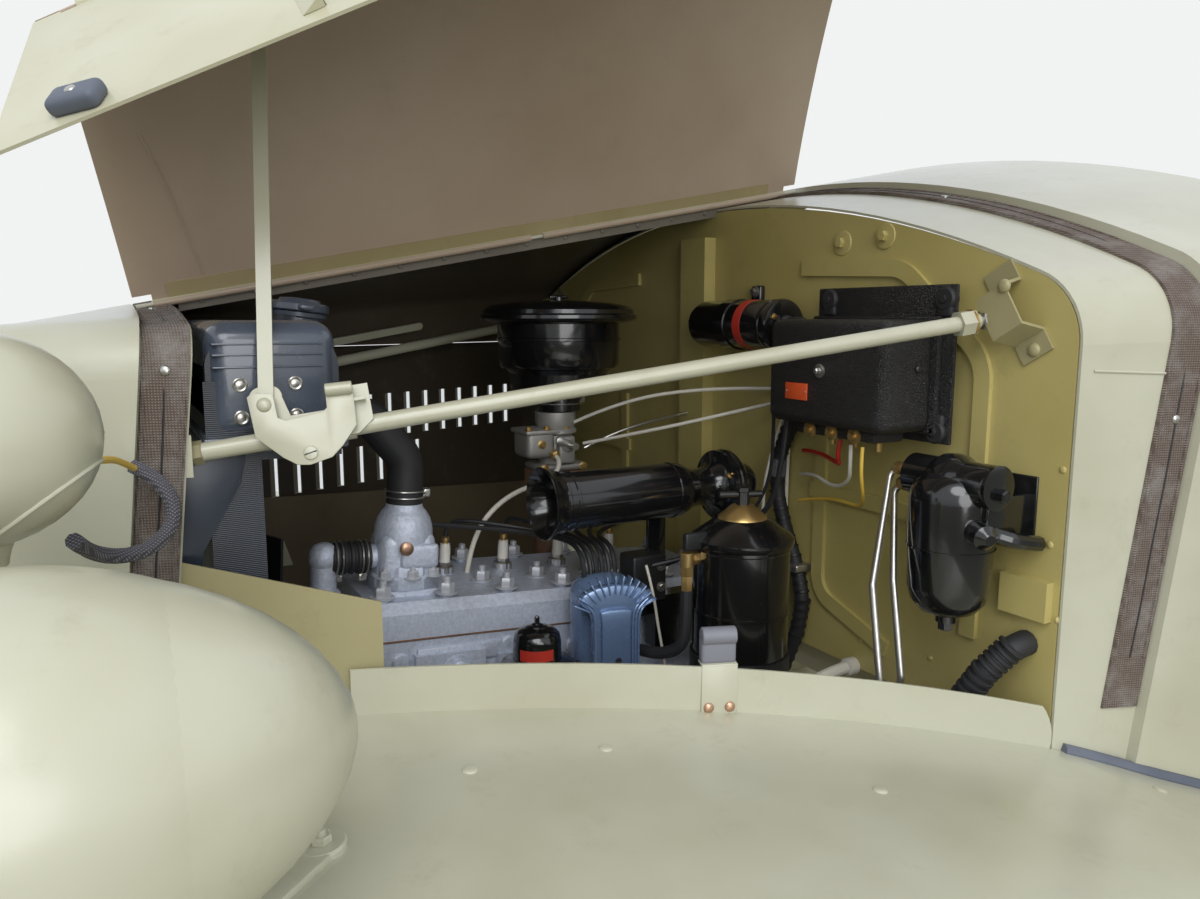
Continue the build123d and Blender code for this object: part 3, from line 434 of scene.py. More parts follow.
def blocky(low, high, edge=0.003, segments=3):  # a block with eased edges
    clearPick()
    size = [top - bottom for top, bottom in zip(high, low)]
    middle = [(top + bottom) / 2 for top, bottom in zip(high, low)]
    bpy.ops.mesh.primitive_cube_add(size=1, location=middle, scale=size)
    piece = bpy.context.object
    bpy.ops.object.transform_apply(location=True, rotation=True, scale=True)
    return modify(piece, "BEVEL", width=edge, segments=segments, limit_method="NONE")


def merge(piece):  # close the seams and face everything outward
    alone(piece)
    bpy.ops.object.mode_set(mode="EDIT")
    bpy.ops.mesh.select_all(action="SELECT")
    bpy.ops.mesh.remove_doubles(threshold=seamGap)
    bpy.ops.mesh.normals_make_consistent(inside=False)
    bpy.ops.object.mode_set(mode="OBJECT")
    return piece


def hose(points, radius, corners=3, steps=6):  # a round line through a curve's control points
    curve = bpy.data.curves.new("line", "CURVE")
    curve.dimensions = "3D"
    spline = curve.splines.new("NURBS")
    spline.points.add(len(points) - 1)
    for point, target in zip(points, spline.points):
        target.co = (*point, 1)
    spline.order_u = 3
    spline.use_endpoint_u = True
    curve.resolution_u = steps
    curve.bevel_depth = radius
    curve.bevel_resolution = corners
    curve.use_fill_caps = True
    piece = bpy.data.objects.new("line", curve)
    bpy.context.scene.collection.objects.link(piece)
    alone(piece)
    bpy.ops.object.convert(target="MESH")
    return merge(bpy.context.object)


def join(pieces):  # several pieces of one finish become one
    clearPick()
    for piece in pieces:
        piece.select_set(True)
    bpy.context.view_layer.objects.active = pieces[0]
    if len(pieces) > 1:
        bpy.ops.object.join()
    return bpy.context.object


def scatter(model, places):  # copies of one model at (place, way) pairs, joined; the model itself goes
    made = []
    for place, way in places:
        copied = model.copy()
        copied.data = model.data.copy()
        bpy.context.scene.collection.objects.link(copied)
        made.append(settle(copied, place, way))
    bpy.data.objects.remove(model)
    return join(made)


def outlineSheet(points, thick, edge):  # a flat outline filled, thickened and eased
    clearPick()
    mesh = bpy.data.meshes.new("sheet")
    mesh.from_pydata([(u, v, 0) for u, v in points], [], [list(range(len(points)))])
    piece = bpy.data.objects.new("sheet", mesh)
    bpy.context.scene.collection.objects.link(piece)
    alone(piece)
    bpy.ops.object.mode_set(mode="EDIT")
    bpy.ops.mesh.select_all(action="SELECT")
    bpy.ops.mesh.extrude_region_move(TRANSFORM_OT_translate={"value": (0, 0, thick)})
    bpy.ops.mesh.select_all(action="SELECT")
    bpy.ops.mesh.normals_make_consistent(inside=False)
    bpy.ops.object.mode_set(mode="OBJECT")
    return modify(piece, "BEVEL", width=edge, segments=2, limit_method="ANGLE")


def touch(node, start, way):  # where a line meets a CAD piece, and which way its surface faces
    found, spot, normal, face = nodes[node].ray_cast(Vector(start), Vector(way).normalized())
    return (spot, normal) if found else None


view = dict(place=(-1.46, -1.26, 0.75), yaw=29.0, pitch=8.4, lens=27.0, sensor=36.0, width=1200, height=899)


def sight(u, v):  # the way from the camera through a point of the picture
    yaw, pitch = math.radians(view["yaw"]), math.radians(view["pitch"])
    ahead = Vector((math.sin(yaw) * math.cos(pitch), math.cos(yaw) * math.cos(pitch), -math.sin(pitch)))
    right = Vector((math.cos(yaw), -math.sin(yaw), 0))
    reach = view["width"] * view["lens"] / view["sensor"]
    return ahead * reach + right * (u - view["width"] / 2) + right.cross(ahead) * (view["height"] / 2 - v)


def spotsOn(node, pixels):  # where points of the picture fall on a CAD piece
    hits = [touch(node, view["place"], sight(u, v)) for u, v in pixels]
    return [hit for hit in hits if hit]


def onPlane(u, v, place, facing):  # where the sight line through a picture point meets a plane
    start, ray = Vector(view["place"]), sight(u, v)
    return start + ray * ((place - start).dot(facing) / ray.dot(facing))


def flip(place, side):  # the same place on the other side of the car when side is -1
    return Vector((place[0], place[1] * side, place[2]))


def ringsAlong(path, shares):  # places and ways for the ribs of a sleeve
    return [(first.lerp(second, share), second - first) for first, second in zip(path, path[1:])
        for share in shares]


def strip(rows, thick):  # a thin sheet through rows of places
    clearPick()
    width = len(rows[0])
    bpy.ops.mesh.primitive_grid_add(x_subdivisions=width - 1, y_subdivisions=len(rows) - 1, size=1)
    piece = bpy.context.object
    for index, vertex in enumerate(piece.data.vertices):
        vertex.co = rows[index // width][index % width]
    modify(piece, "SOLIDIFY", thickness=thick, offset=0)
    return merge(piece)


def rivetModel(radius, rise):  # a low domed head
    return turned([(radius, -rise * 0.3), (radius, rise * 0.15), (radius * 0.9, rise * 0.5),
        (radius * 0.66, rise * 0.82), (radius * 0.3, rise)], corners=14)


def hexModel(across, rise, washer=0.0):  # a hexagon head, on a washer where one is given
    half = across / 2 / math.cos(math.pi / 6)
    head = turned([(half * 0.95, 0), (half, rise * 0.08), (half, rise * 0.85), (half * 0.86, rise)],
        (0, 0, washer), corners=6)
    if not washer:
        return head
    ring = turned([(across * 0.82, -0.0004), (across * 0.86, washer * 0.3), (across * 0.86, washer * 0.8),
                   (across * 0.8, washer)], corners=20)
    return join([head, ring])


def studModel(across, rise, length, washer=0.0):  # a nut with the end of its stud
    stud = turned([(across * 0.28, 0), (across * 0.28, length), (across * 0.2, length + across * 0.08)],
        corners=12)
    return join([hexModel(across, rise, washer), stud])


def ringClamp(place, way, radius, wire, spread):  # two wire rings and a screw
    parts = []
    for shift in (-spread, spread):
        clearPick()
        bpy.ops.mesh.primitive_torus_add(major_radius=radius, minor_radius=wire, major_segments=36,
            minor_segments=8, location=(0, 0, shift))
        parts.append(bpy.context.object)
    screw = spun([(3.5, 0), (3.5, 20), (6, 20), (6, 26)], (radius + 0.003, -0.012, 0), (0, 1, 0), corners=12)
    lug = blocky((radius - 0.001, -0.007, -0.006), (radius + 0.009, 0.007, 0.006), 0.0015, 2)
    return settle(join(parts + [screw, lug]), place, way)


# The engine leans back on its mounts: places on it are given along it, across it and up from its deck
engineSeat = dict(front=-1.172, deck=0.321, tilt=3.75)
engineTurn = (Matrix.Translation((engineSeat["front"], 0, engineSeat["deck"]))
              @ Matrix.Rotation(math.radians(engineSeat["tilt"]), 4, "Y"))
engineUp = engineTurn.to_3x3() @ Vector((0, 0, 1))


def onEngine(x, y, z):
    return engineTurn @ Vector((x, y, z))


def lean(piece):  # a piece drawn level on the engine gets the engine's tilt
    return carry(piece, engineTurn)


# Fuel filter on the bulkhead
fuelFilter = dict(centre=(-0.611, -0.567), low=0.392, headHeight=0.564)
x, y = fuelFilter["centre"]
low = fuelFilter["low"]
bowl = spun([(10, 12), (18, 13.5), (32, 19), (42, 31), (46.5, 48), (47.5, 94), (49.5, 94.5), (49.5, 96.5),
    (48.5, 97), (48.5, 150), (47, 162), (42, 173), (33, 181), (18, 186), (4, 187)], (x, y, low), corners=48)
headLine = spun([(17, -60), (22.5, -59.2), (24.8, -57), (24.8, -22), (25.2, -20), (30, -12), (31.5, 0),
    (30, 12), (25.2, 20), (24.8, 22), (24.8, 52), (23.5, 55.5), (25.5, 56), (25.5, 60), (17, 61)],
    (x, y, fuelFilter["headHeight"]), (0, -1, 0), corners=40)
drain = join([spun([(12, 4), (12, 14)], (x, y, low), corners=24), spun([(8, -6), (9, -5), (9, 5)],
    (x, y, low), corners=6)])
valve = spun([(10, 0), (14, 2), (14, 21), (11, 24), (8, 28), (6, 30)], (x - 0.014, y - 0.044, low + 0.122),
    (-0.35, -0.92, -0.1), corners=24)
arm = hose([(x + 0.002, y - 0.048, low + 0.12), (x + 0.01, y - 0.062, low + 0.116),
    (x + 0.03, y - 0.07, low + 0.11), (x + 0.058, y - 0.072, low + 0.106)], 0.009)
endNut = spun([(6, 0), (8, 1), (8, 9), (6, 11)], (x, y - 0.06, low + 0.164), (0, -1, 0), corners=6)
filterBody = hand(join([bowl, headLine, drain, valve, arm, endNut]), "fuel_filter_bowl", "blackGloss")
plate = blocky((-0.549, y - 0.062, 0.488), (-0.5453, y + 0.004, 0.572), 0.0015)
bolts = scatter(hexModel(0.011, 0.006, 0.0015), [((-0.549, y - 0.054, 0.496), (-1, 0, 0)),
    ((-0.549, y - 0.004, 0.564), (-1, 0, 0))])
web = blocky((x - 0.009, y - 0.055, 0.504), (-0.5455, y - 0.041, 0.552), 0.003)
hand(join([plate, bolts, web]), "fuel_filter_carrier", "blackGloss")
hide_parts("fuel_filter")
brassEnds = []
for drop, reach in ((0.568, 0.0), (0.548, 0.0068)):
    start = (x - 0.006 + reach, y + 0.058, drop)
    brassEnds.append(spun([(7.5, 0), (7.5, 8), (6, 9), (6, 12)], start, (0, 1, 0), corners=6))
    brassEnds.append(spun([(6.2, 12), (8.5, 13), (8.5, 22), (6, 24)], start, (0, 1, 0), corners=6))
hand(join(brassEnds), "fuel_union_nuts", "brass")
pipeClip = blocky((-0.704, -0.5655, 0.3), (-0.668, -0.5485, 0.312), 0.002)
hand(pipeClip, "fuel_pipe_clip", "oliveRail")
print("fuel filter made")


# Voltage regulator: a lidded box with turned corners on a flanged back
regulator = dict(feet=((-0.312, 0.773), (-0.508, 0.771), (-0.503, 0.61), (-0.31, 0.61)),
    lidScrew=(-0.6605, -0.395, 0.682), plateFace=-0.6622)
lid = blocky((-0.6605, -0.5015, 0.6105), (-0.576, -0.2905, 0.7465), 0.013, 5)
flange = blocky((-0.578, -0.506, 0.606), (-0.568, -0.286, 0.751), 0.003, 2)
back = blocky((-0.5695, -0.5225, 0.5955), (-0.5638, -0.2875, 0.7885), 0.0025, 2)
terminalBox = blocky((-0.641, -0.471, 0.5955), (-0.589, -0.329, 0.6125), 0.004, 2)
regulatorCase = hand(join([lid, flange, back, terminalBox]), "regulator_case", "blackCrackle")
feet = []
for footY, footZ in regulator["feet"]:
    upward = 1 if footZ > 0.7 else -1
    foot = spun([(12.5, 0), (14.5, 2), (14.5, 10), (12, 12.5)], (-0.5625, footY, footZ), (-1, 0, 0),
        corners=28)
    tongue = blocky((-0.574, footY - 0.011, min(footZ, footZ - upward * 0.022)),
                    (-0.563, footY + 0.011, max(footZ, footZ - upward * 0.022)), 0.004, 3)
    feet += [foot, tongue]
hand(join(feet), "regulator_feet", "darkRubber")
screwSpots = [((-0.575, footY, footZ), (-1, 0, 0)) for footY, footZ in regulator["feet"]]
hand(scatter(hexModel(0.009, 0.003), screwSpots), "regulator_foot_screws", "darkRubber", slot="steel")
lidScrew = join([spun([(8, 0), (9, 1), (9, 3), (6, 4)], regulator["lidScrew"], (-1, 0, 0), corners=24),
    spun([(4.5, 0), (4.5, 8), (3, 10)], regulator["lidScrew"], (-1, 0, 0), corners=6)])
hand(lidScrew, "regulator_lid_screw", "bareSteel")
plate = blocky((regulator["plateFace"], -0.372, 0.642), (-0.66, -0.33, 0.664), 0.001, 2)
modify(plate, "BEVEL", width=0.004, segments=3, limit_method="ANGLE", angle_limit=math.radians(60))
hand(plate, "regulator_plate", "orangePlate")
plateRivets = scatter(rivetModel(0.0014, 0.0008), [((regulator["plateFace"], y, 0.653), (-1, 0, 0))
    for y in (-0.369, -0.333)])
hand(plateRivets, "regulator_plate_rivets", "bareSteel")
terminals = []
for index in range(3):
    terminalY = -0.36 - index * 0.04
    terminals.append(spun([(9.5, 0), (10.5, 1), (10.5, 3), (5, 4), (5, 9)], (-0.641, terminalY, 0.603),
        (-1, 0, -0.15), corners=20))
    terminals.append(spun([(3.5, 0), (3.5, 12)], (-0.618, terminalY - 0.018, 0.5955), (0, 0, -1), corners=6))
hand(join(terminals), "regulator_terminals", "brass")
sideScrew = spun([(4, 0), (5, 1), (5, 3), (3, 4.5)], (-0.606, -0.5013, 0.688), (0, -1, 0), corners=16)
hand(sideScrew, "regulator_side_screw", "blackSatin", slot="steel")
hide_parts("regulator")
print("regulator made")


# Ignition coil
coilEnd = dict(place=(-0.59, -0.242, 0.738), way=(0, 1, 0))
can = spun([(30, 0), (36.2, 1.5), (38, 5), (38, 9), (36, 11), (36, 18), (37.2, 19.5), (37.2, 22), (36, 24),
    (36.8, 30), (36.8, 186), (34, 196), (30, 198)], **coilEnd, corners=40)
clasp = spun([(36.7, 100), (39, 100.5), (39, 124.5), (36.7, 125)],
               **coilEnd, corners=40)
clampEar = blocky((-0.556, -0.141, 0.762), (-0.545, -0.119, 0.798), 0.003)
clampFoot = blocky((-0.556, -0.141, 0.7), (-0.545, -0.119, 0.77), 0.002)
coilCan = hand(join([can, clasp, clampEar, clampFoot]), "coil_can", "blackGloss")
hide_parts("ignition_coil")
hand(scatter(hexModel(0.011, 0.006, 0.0015), [((-0.556, -0.13, 0.788), (-1, 0, 0))]), "coil_clamp_bolt",
    "bareSteel")
band = spun([(36.6, 60), (37.3, 60.2), (37.3, 78), (36.6, 78.2)],
              **coilEnd, corners=40)
hand(band, "coil_band", "redLabel")
tower = spun([(14, 0), (14, -6), (10, -8), (10, -24), (7, -26)], **coilEnd, corners=24)
boot = spun([(9, -20), (11.5, -22), (11.5, -36), (6, -48), (4, -50)], **coilEnd, corners=20)
hand(join([tower, boot]), "coil_tower", "darkRubber")
posts = scatter(studModel(0.008, 0.004, 0.012), [((-0.59 + side * 0.022, -0.241, 0.738 - side * 0.012),
    (0, -1, 0)) for side in (-1, 1)])
hand(posts, "coil_posts", "brass")
print("coil made")


# Oil filter: canister with a clamped lid and a tee bolt
oilFilter = dict(place=(-0.705, -0.3, 0.214))
canister = spun([(40, 0), (56, 3), (64, 10), (66, 20), (66, 134), (67.6, 135), (67.6, 138.5), (66, 139.5),
    (66, 222), (67.5, 224), (67.5, 228), (70, 229.5), (71.4, 233), (71, 238.5), (66.5, 243), (52, 252.5),
    (35, 264), (12, 266)], oilFilter["place"], corners=56)
oilCan = hand(canister, "oil_filter_can", "blackGloss")
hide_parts("oil_filter")
cap = spun([(34, 264), (33, 266.5), (24, 274), (15, 281.5), (10, 282.5)], oilFilter["place"], corners=40)
hand(cap, "oil_filter_cap", "brass")
stem = spun([(9.5, 278), (9.5, 300), (11.5, 301), (11.5, 306.5), (8, 308)], oilFilter["place"], corners=6)
x, y, z = oilFilter["place"]
bar = spun([(3.5, -34), (4.8, -33), (4.8, 26), (3.5, 27)], (x, y, z + 0.2965), (0.93, -0.36, 0), corners=16)
hand(join([stem, bar]), "oil_filter_tee", "blackSatin", slot="steel")
strap = spun([(66.5, 52), (69.2, 52.5), (69.2, 75.5), (66.5, 76)], oilFilter["place"], corners=56)
ear = blocky((x - 0.095, y - 0.004, z + 0.228), (x - 0.06, y + 0.006, z + 0.252), 0.003)
hand(join([strap, ear]), "oil_filter_strap", "blackSatin")
elbow = join([spun([(6, 0), (9, 1), (9, 12), (7, 13), (7, 22)], (x - 0.062, y + 0.01, z + 0.214),
    (-0.94, -0.1, 0), corners=6), spun([(8.5, -10), (9.5, -9), (9.5, 9), (8.5, 10)],
    (x - 0.086, y + 0.007, z + 0.214), (0, 0, 1), corners=20), spun([(7.5, 0), (9.2, 1), (9.2, 13),
    (7, 14), (7.8, 15), (7.8, 34), (6, 36)], (x - 0.086, y + 0.007, z + 0.206), (0, 0, -1), corners=6)])
hand(elbow, "oil_filter_elbow", "brass")
oilLine = hose([(x - 0.086, y + 0.007, z + 0.172), (x - 0.086, y + 0.007, z + 0.12),
    (x - 0.092, y + 0.012, z + 0.085), (x - 0.118, y + 0.06, z + 0.07), (x - 0.124, y + 0.15, z + 0.066)],
    0.0085)
hand(oilLine, "oil_filter_hose", "darkRubber")
print("oil filter made")


# Ignition cover: a fluted shield with a plain band down its middle and fins at the top
ignitionCover = dict(place=(-0.856, -0.182, 0.248), turn=-12, fins=13)
coverTurn = (Matrix.Translation(Vector(ignitionCover["place"]))
             @ Matrix.Rotation(math.radians(ignitionCover["turn"]), 4, "Z"))


def onCover(piece):  # drawn with its face towards -Y, then set on the engine
    return carry(piece, coverTurn)


def standing(piece, depth):  # a flat outline stood up facing -Y
    return carry(piece, Matrix.Translation((0, depth, 0)) @ Matrix.Rotation(quarterTurn, 4, "X"))


drum = spun([(26, 0), (30, 2), (30, 18), (44, 20), (46, 24), (46, 112), (43, 124), (34, 134), (20, 139),
    (4, 140)], (0, 0.01, 0), corners=40)
shield = standing(outlineSheet([(-0.0315, 0.01), (0.0345, 0.01), (0.0345, 0.09), (0.04, 0.106),
    (0.053, 0.117), (0.047, 0.129), (0.026, 0.137), (0.0, 0.14), (-0.026, 0.137), (-0.045, 0.129),
    (-0.05, 0.117), (-0.037, 0.106), (-0.0315, 0.09)], 0.016, 0.003), -0.036)
panel = standing(outlineSheet([(-0.0205, 0.012), (0.0205, 0.012), (0.0205, 0.092), (0.0225, 0.104),
    (0.01, 0.1065), (-0.01, 0.1065), (-0.0225, 0.104), (-0.0205, 0.092)], 0.007, 0.0022), -0.0515)
ridges = []
for side, reaches in ((-1, (0.0285,)), (1, (0.025, 0.0292, 0.0335))):
    for row, reach in enumerate(reaches):
        ridges.append(hose([(side * reach, -0.0535, 0.012), (side * reach, -0.0535, 0.055),
            (side * reach, -0.0535, 0.092), (side * (reach + 0.004 + row * 0.001), -0.0535, 0.108),
            (side * (reach + 0.016 + row * 0.002), -0.052, 0.119 - row * 0.002)], 0.0019, 2, 5))
fins = []
for index in range(ignitionCover["fins"]):
    lay = math.radians(26 + 128 * index / (ignitionCover["fins"] - 1))
    fin = blocky((0.04, -0.01, -0.0011), (0.0655, 0.008, 0.0011), 0.0008, 2)
    fins.append(carry(fin, Matrix.Translation((0, -0.046, 0.088)) @ Matrix.Rotation(-lay, 4, "Y")))
for index in range(8):
    across = -0.0265 + index * 0.0078
    fins.append(blocky((across - 0.0014, -0.054, -0.008), (across + 0.0014, -0.034, 0.0115), 0.001, 2))
shieldPiece = hand(onCover(join([drum, shield, panel] + ridges + fins)), "ignition_shield", "coverBluePaintedSheen")
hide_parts("ignition_cover")
hole = spun([(4.5, 0), (4.5, 0.6)], (0.003, -0.0583, 0.034), (0, -1, 0), corners=24)
hand(onCover(hole), "ignition_shield_hole", "darkRubber", slot="cover")
base = blocky((-0.034, -0.03, -0.0003), (0.034, 0.034, 0.012), 0.004)
hand(onCover(base), "ignition_base", "blackSatin")
hotWire = hose([(-0.8, -0.205, 0.4), (-0.792, -0.212, 0.36), (-0.786, -0.216, 0.31), (-0.776, -0.22, 0.255),
    (-0.772, -0.215, 0.238)], 0.0021)
hand(hotWire, "ignition_lead", "paleCable")
junction = blocky((-0.8, -0.17, 0.33), (-0.742, -0.128, 0.402), 0.004)
hand(junction, "ignition_box", "blackSatin")
hand(scatter(hexModel(0.009, 0.004, 0.001), [((-0.752, -0.17, z), (0, -1, 0))
    for z in (0.384, 0.352)]), "ignition_box_screws", "bareSteel")
bracket = blocky((-0.79, -0.14, 0.3), (-0.75, -0.1195, 0.332), 0.002)
hand(bracket, "ignition_box_bracket", "blackSatin")
print("ignition cover made")


# Oil filler with its cap, rim and wing stud
fillerPlace = Vector((-0.976, -0.214, 0.28))
rim = spun([(46, 0), (50.5, 3), (51.2, 9), (48, 14), (36, 16.5), (32.5, 20), (32, 44), (30, 53), (24, 59),
    (14, 62), (4, 63)], fillerPlace, corners=44)
stud = spun([(7.5, 62), (7.5, 66), (3.5, 67), (3.5, 75), (2, 77)], fillerPlace, corners=6)
fillerPiece = hand(join([rim, stud]), "oil_filler_cap", "blackGloss")
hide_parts("oil_filler")
clearPick()
bpy.ops.mesh.primitive_cylinder_add(vertices=48, radius=0.0324, depth=0.015, end_fill_type="NOTHING",
                                    location=fillerPlace + Vector((0, 0, 0.032)))
patch = bpy.context.object
bpy.ops.object.mode_set(mode="EDIT")
bpy.ops.mesh.select_all(action="DESELECT")
bpy.ops.object.mode_set(mode="OBJECT")
for face in patch.data.polygons:  # only the part that looks forward and out stays
    heading = math.degrees(math.atan2(face.normal.y, face.normal.x)) % 360
    face.select = not 200 < heading < 285
bpy.ops.object.mode_set(mode="EDIT")
bpy.ops.mesh.select_mode(type="FACE")
bpy.ops.mesh.delete(type="FACE")
bpy.ops.object.mode_set(mode="OBJECT")
settle(patch)
modify(patch, "SOLIDIFY", thickness=0.0006, offset=1.0)
hand(patch, "oil_filler_patch", "redLabel")
print("oil filler made")


# Horn: flared mouth, ringed tube and the sounder's flanged housing
hornPlace = dict(mouth=(-0.945, -0.164, 0.496))
hornTube = spun([(26, 60), (33.5, 30), (40.5, 12), (47, 3), (49.5, 0), (50.8, 1), (50.5, 3.5), (47, 8),
    (43.5, 16), (42, 23), (43.2, 24.5), (43.2, 27.5), (41.5, 29), (41.2, 38), (42.4, 39.5), (42.4, 42.5),
    (40.5, 44), (40, 206), (41.2, 207.5), (41.2, 212.5), (39.5, 214), (39.5, 222), (36, 232), (31, 240),
    (28, 256), (29, 272), (34, 284), (44, 291), (50, 292.5), (53, 294), (53.5, 299), (51.5, 302),
    (51.5, 306), (53.5, 308), (53, 314), (48, 317), (42, 326), (32, 334), (30, 346), (26, 352), (4, 353)],
    hornPlace["mouth"], (1, 0, 0), corners=56)
foot = blocky((-0.762, -0.148, 0.3495), (-0.73, -0.142, 0.462), 0.0015)
shelf = blocky((-0.762, -0.145, 0.345), (-0.73, -0.099, 0.3505), 0.0015)
hornPiece = hand(join([hornTube, foot, shelf]), "horn_tube", "blackGloss")
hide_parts("horn")
seam = blocky((-0.896, -0.2052, 0.4945), (-0.742, -0.2035, 0.4965), 0.0006, 2)
hand(seam, "horn_seam", "blackSatin")
hornBolts = []
for index in range(6):
    lay = math.radians(60 * index + 15)
    hornBolts.append(((-0.6302, -0.164 + 0.0465 * math.cos(lay), 0.496 + 0.0465 * math.sin(lay)), (1, 0, 0)))
hand(scatter(hexModel(0.007, 0.003), hornBolts), "horn_screws", "bareSteel")
hornPost = studModel(0.008, 0.004, 0.01)
hand(scatter(hornPost, [((-0.655, -0.202, 0.515), (0.1, -0.8, 0.6))]), "horn_terminal", "brass")
print("horn made")


# Air cleaner and carburettor
cleanerBase = Vector((-0.78, 0.11, 0.5923))
cleaner = spun([(33, 0), (36, 1), (36, 28), (40, 32), (76, 34), (81.5, 39), (82.5, 64), (88, 71), (98, 74),
    (102, 80), (102.5, 118), (104.5, 119), (104.5, 123), (102.5, 124), (102.5, 146), (118, 148.5), (128, 151),
    (131.5, 155), (131, 160), (126.5, 163), (125.5, 169), (118, 175), (92, 180), (50, 183.5), (20, 185)],
    cleanerBase, corners=72)
wing = join([spun([(9, 184), (9, 190), (5, 191.5)], cleanerBase, corners=20), blocky((-0.797, 0.1075, 0.7785),
    (-0.763, 0.1125, 0.7855), 0.0022)])
cleanerPiece = hand(join([cleaner, wing]), "air_cleaner_case", "blackGloss")
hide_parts("air_cleaner")
neckClamp = ringClamp(cleanerBase + Vector((0, 0, 0.018)), (0, 0, 1), 0.0368, 0.0012, 0.005)
hand(neckClamp, "air_cleaner_clamp", "bareSteel")

carbPlace = Vector((-0.788, 0.11, 0.492))
cx, cy, cz = carbPlace
barrel = spun([(30, 12), (30, 28), (34, 30), (34, 34), (29, 38), (29, 60), (33, 62), (36, 64), (36, 70),
    (32, 73), (34.5, 80), (34.5, 99)], carbPlace, corners=40)
footPlate = blocky((cx - 0.044, cy - 0.034, cz + 0.0003), (cx + 0.044, cy + 0.034, cz + 0.013), 0.006)
bowlBox = blocky((cx - 0.066, cy - 0.032, cz + 0.024), (cx - 0.014, cy + 0.03, cz + 0.074), 0.01, 4)
bowlLid = blocky((cx - 0.069, cy - 0.035, cz + 0.064), (cx + 0.012, cy + 0.033, cz + 0.0725), 0.003)
sideBoss = spun([(13, 0), (13, 16), (9, 19)], (cx + 0.004, cy - 0.026, cz + 0.046), (0, -1, 0), corners=24)
web = blocky((cx - 0.012, cy - 0.041, cz + 0.014), (cx + 0.018, cy - 0.026, cz + 0.06), 0.004)
carbPiece = hand(join([barrel, footPlate, bowlBox, bowlLid, sideBoss, web]), "carburettor_casting",
    "dullCasting")
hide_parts("carburettor")
carbScrews = [((cx - 0.062, cy - 0.028, cz + 0.0725), (0, 0, 1)), ((cx - 0.03, cy - 0.03, cz + 0.0725),
    (0, 0, 1)), ((cx + 0.006, cy - 0.028, cz + 0.0725), (0, 0, 1)), ((cx - 0.036, cy - 0.034, cz + 0.007),
    (0, -1, 0)), ((cx + 0.036, cy - 0.034, cz + 0.007), (0, -1, 0)), ((cx - 0.04, cy - 0.032, cz + 0.048),
    (0, -1, 0))]
hand(scatter(hexModel(0.0085, 0.005, 0.001), carbScrews), "carburettor_screws", "brass")
lever = outlineSheet([(-0.006, -0.006), (0.006, -0.006), (0.007, 0.026), (0.003, 0.03), (-0.003, 0.03),
    (-0.007, 0.026)], 0.002, 0.0006)
settle(lever, (cx + 0.008, cy - 0.047, cz + 0.046), (0, -1, 0), math.radians(70))
shaft = spun([(3.5, 0), (3.5, 24), (6, 25), (6, 29)], (cx + 0.004, cy - 0.04, cz + 0.046), (0, -1, 0),
    corners=16)
rod = hose([(cx + 0.03, cy - 0.049, cz + 0.04), (cx + 0.07, cy - 0.06, cz + 0.06),
    (cx + 0.14, cy - 0.07, cz + 0.08), (-0.546, cy - 0.075, cz + 0.095)], 0.0022)
hand(join([lever, shaft, rod]), "throttle_linkage", "bareSteel")
fuelFeed = hose([(cx - 0.02, cy - 0.036, cz + 0.03), (cx - 0.018, cy - 0.06, cz + 0.024),
    (cx - 0.04, cy - 0.072, cz - 0.004), (cx - 0.13, cy - 0.082, cz - 0.02),
    (cx - 0.19, cy - 0.086, cz - 0.08), (cx - 0.2, cy - 0.09, cz - 0.15)], 0.004)
hand(fuelFeed, "carburettor_feed", "paleCable", slot="steel")
union = spun([(6, 0), (8.5, 1), (8.5, 10), (6, 12)], (cx - 0.02, cy - 0.033, cz + 0.031), (0.05, -1, -0.2),
    corners=6)
hand(union, "carburettor_union", "brass")
print("carburettor made")


# Thermostat housing, elbow, hoses and their clamps
outletSeat = dict(x=0.062, y=-0.04, z=0.0583)
ox, oy, oz = outletSeat["x"], outletSeat["y"], outletSeat["z"]
flangePiece = spun([(46, 0), (47.5, 2), (47.5, 16), (45.5, 18), (44, 19), (44, 30), (42.5, 33)], (ox, oy, oz),
    corners=8, roll=math.radians(22.5))
tower = blocky((ox - 0.04, oy - 0.036, oz + 0.01), (ox + 0.04, oy + 0.036, oz + 0.08), 0.018, 5)
dome = spun([(37, 30), (40, 50), (41, 70), (40, 84), (36.5, 96), (31, 105), (26.2, 110), (24.5, 118)],
    (ox, oy, oz), corners=40)
arm = spun([(17, 0), (16.5, 30), (18.5, 32), (18.5, 38), (16, 40)], (ox - 0.022, oy, oz + 0.042), (-1, 0, 0),
    corners=28)
lip = blocky((ox - 0.014, oy - 0.0425, oz + 0.03), (ox + 0.04, oy - 0.03, oz + 0.064), 0.009, 4)
outletPiece = hand(lean(join([flangePiece, tower, dome, arm, lip])), "water_outlet_casting", "castSilver")
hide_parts("water_outlet")
outletBolt = spun([(8.5, 0), (9.5, 1.2), (9.5, 3.5), (7, 5.5), (3, 6)],
    onEngine(ox - 0.008, oy - 0.0425, oz + 0.06), (-0.1, -1, 0), corners=28)
hand(outletBolt, "water_outlet_plug", "copper")
seatSpots = [(onEngine(ox + along, oy - across, oz + 0.0175), engineUp)
             for along, across in ((-0.034, 0.034), (0.034, 0.034), (0.002, 0.043))]
seatBolts = scatter(studModel(0.014, 0.009, 0.014, 0.002), seatSpots)
hand(seatBolts, "water_outlet_nuts", "engineSilver")
elbowBall = spun([(6, -21), (14, -17), (19.5, -8), (20.5, 1), (19, 10), (14, 17), (6, 20.5)],
    (-0.047, oy, oz + 0.044), corners=32)
elbowLeg = spun([(17.5, -50), (17.5, -6)], (-0.047, oy, oz + 0.044), corners=32)
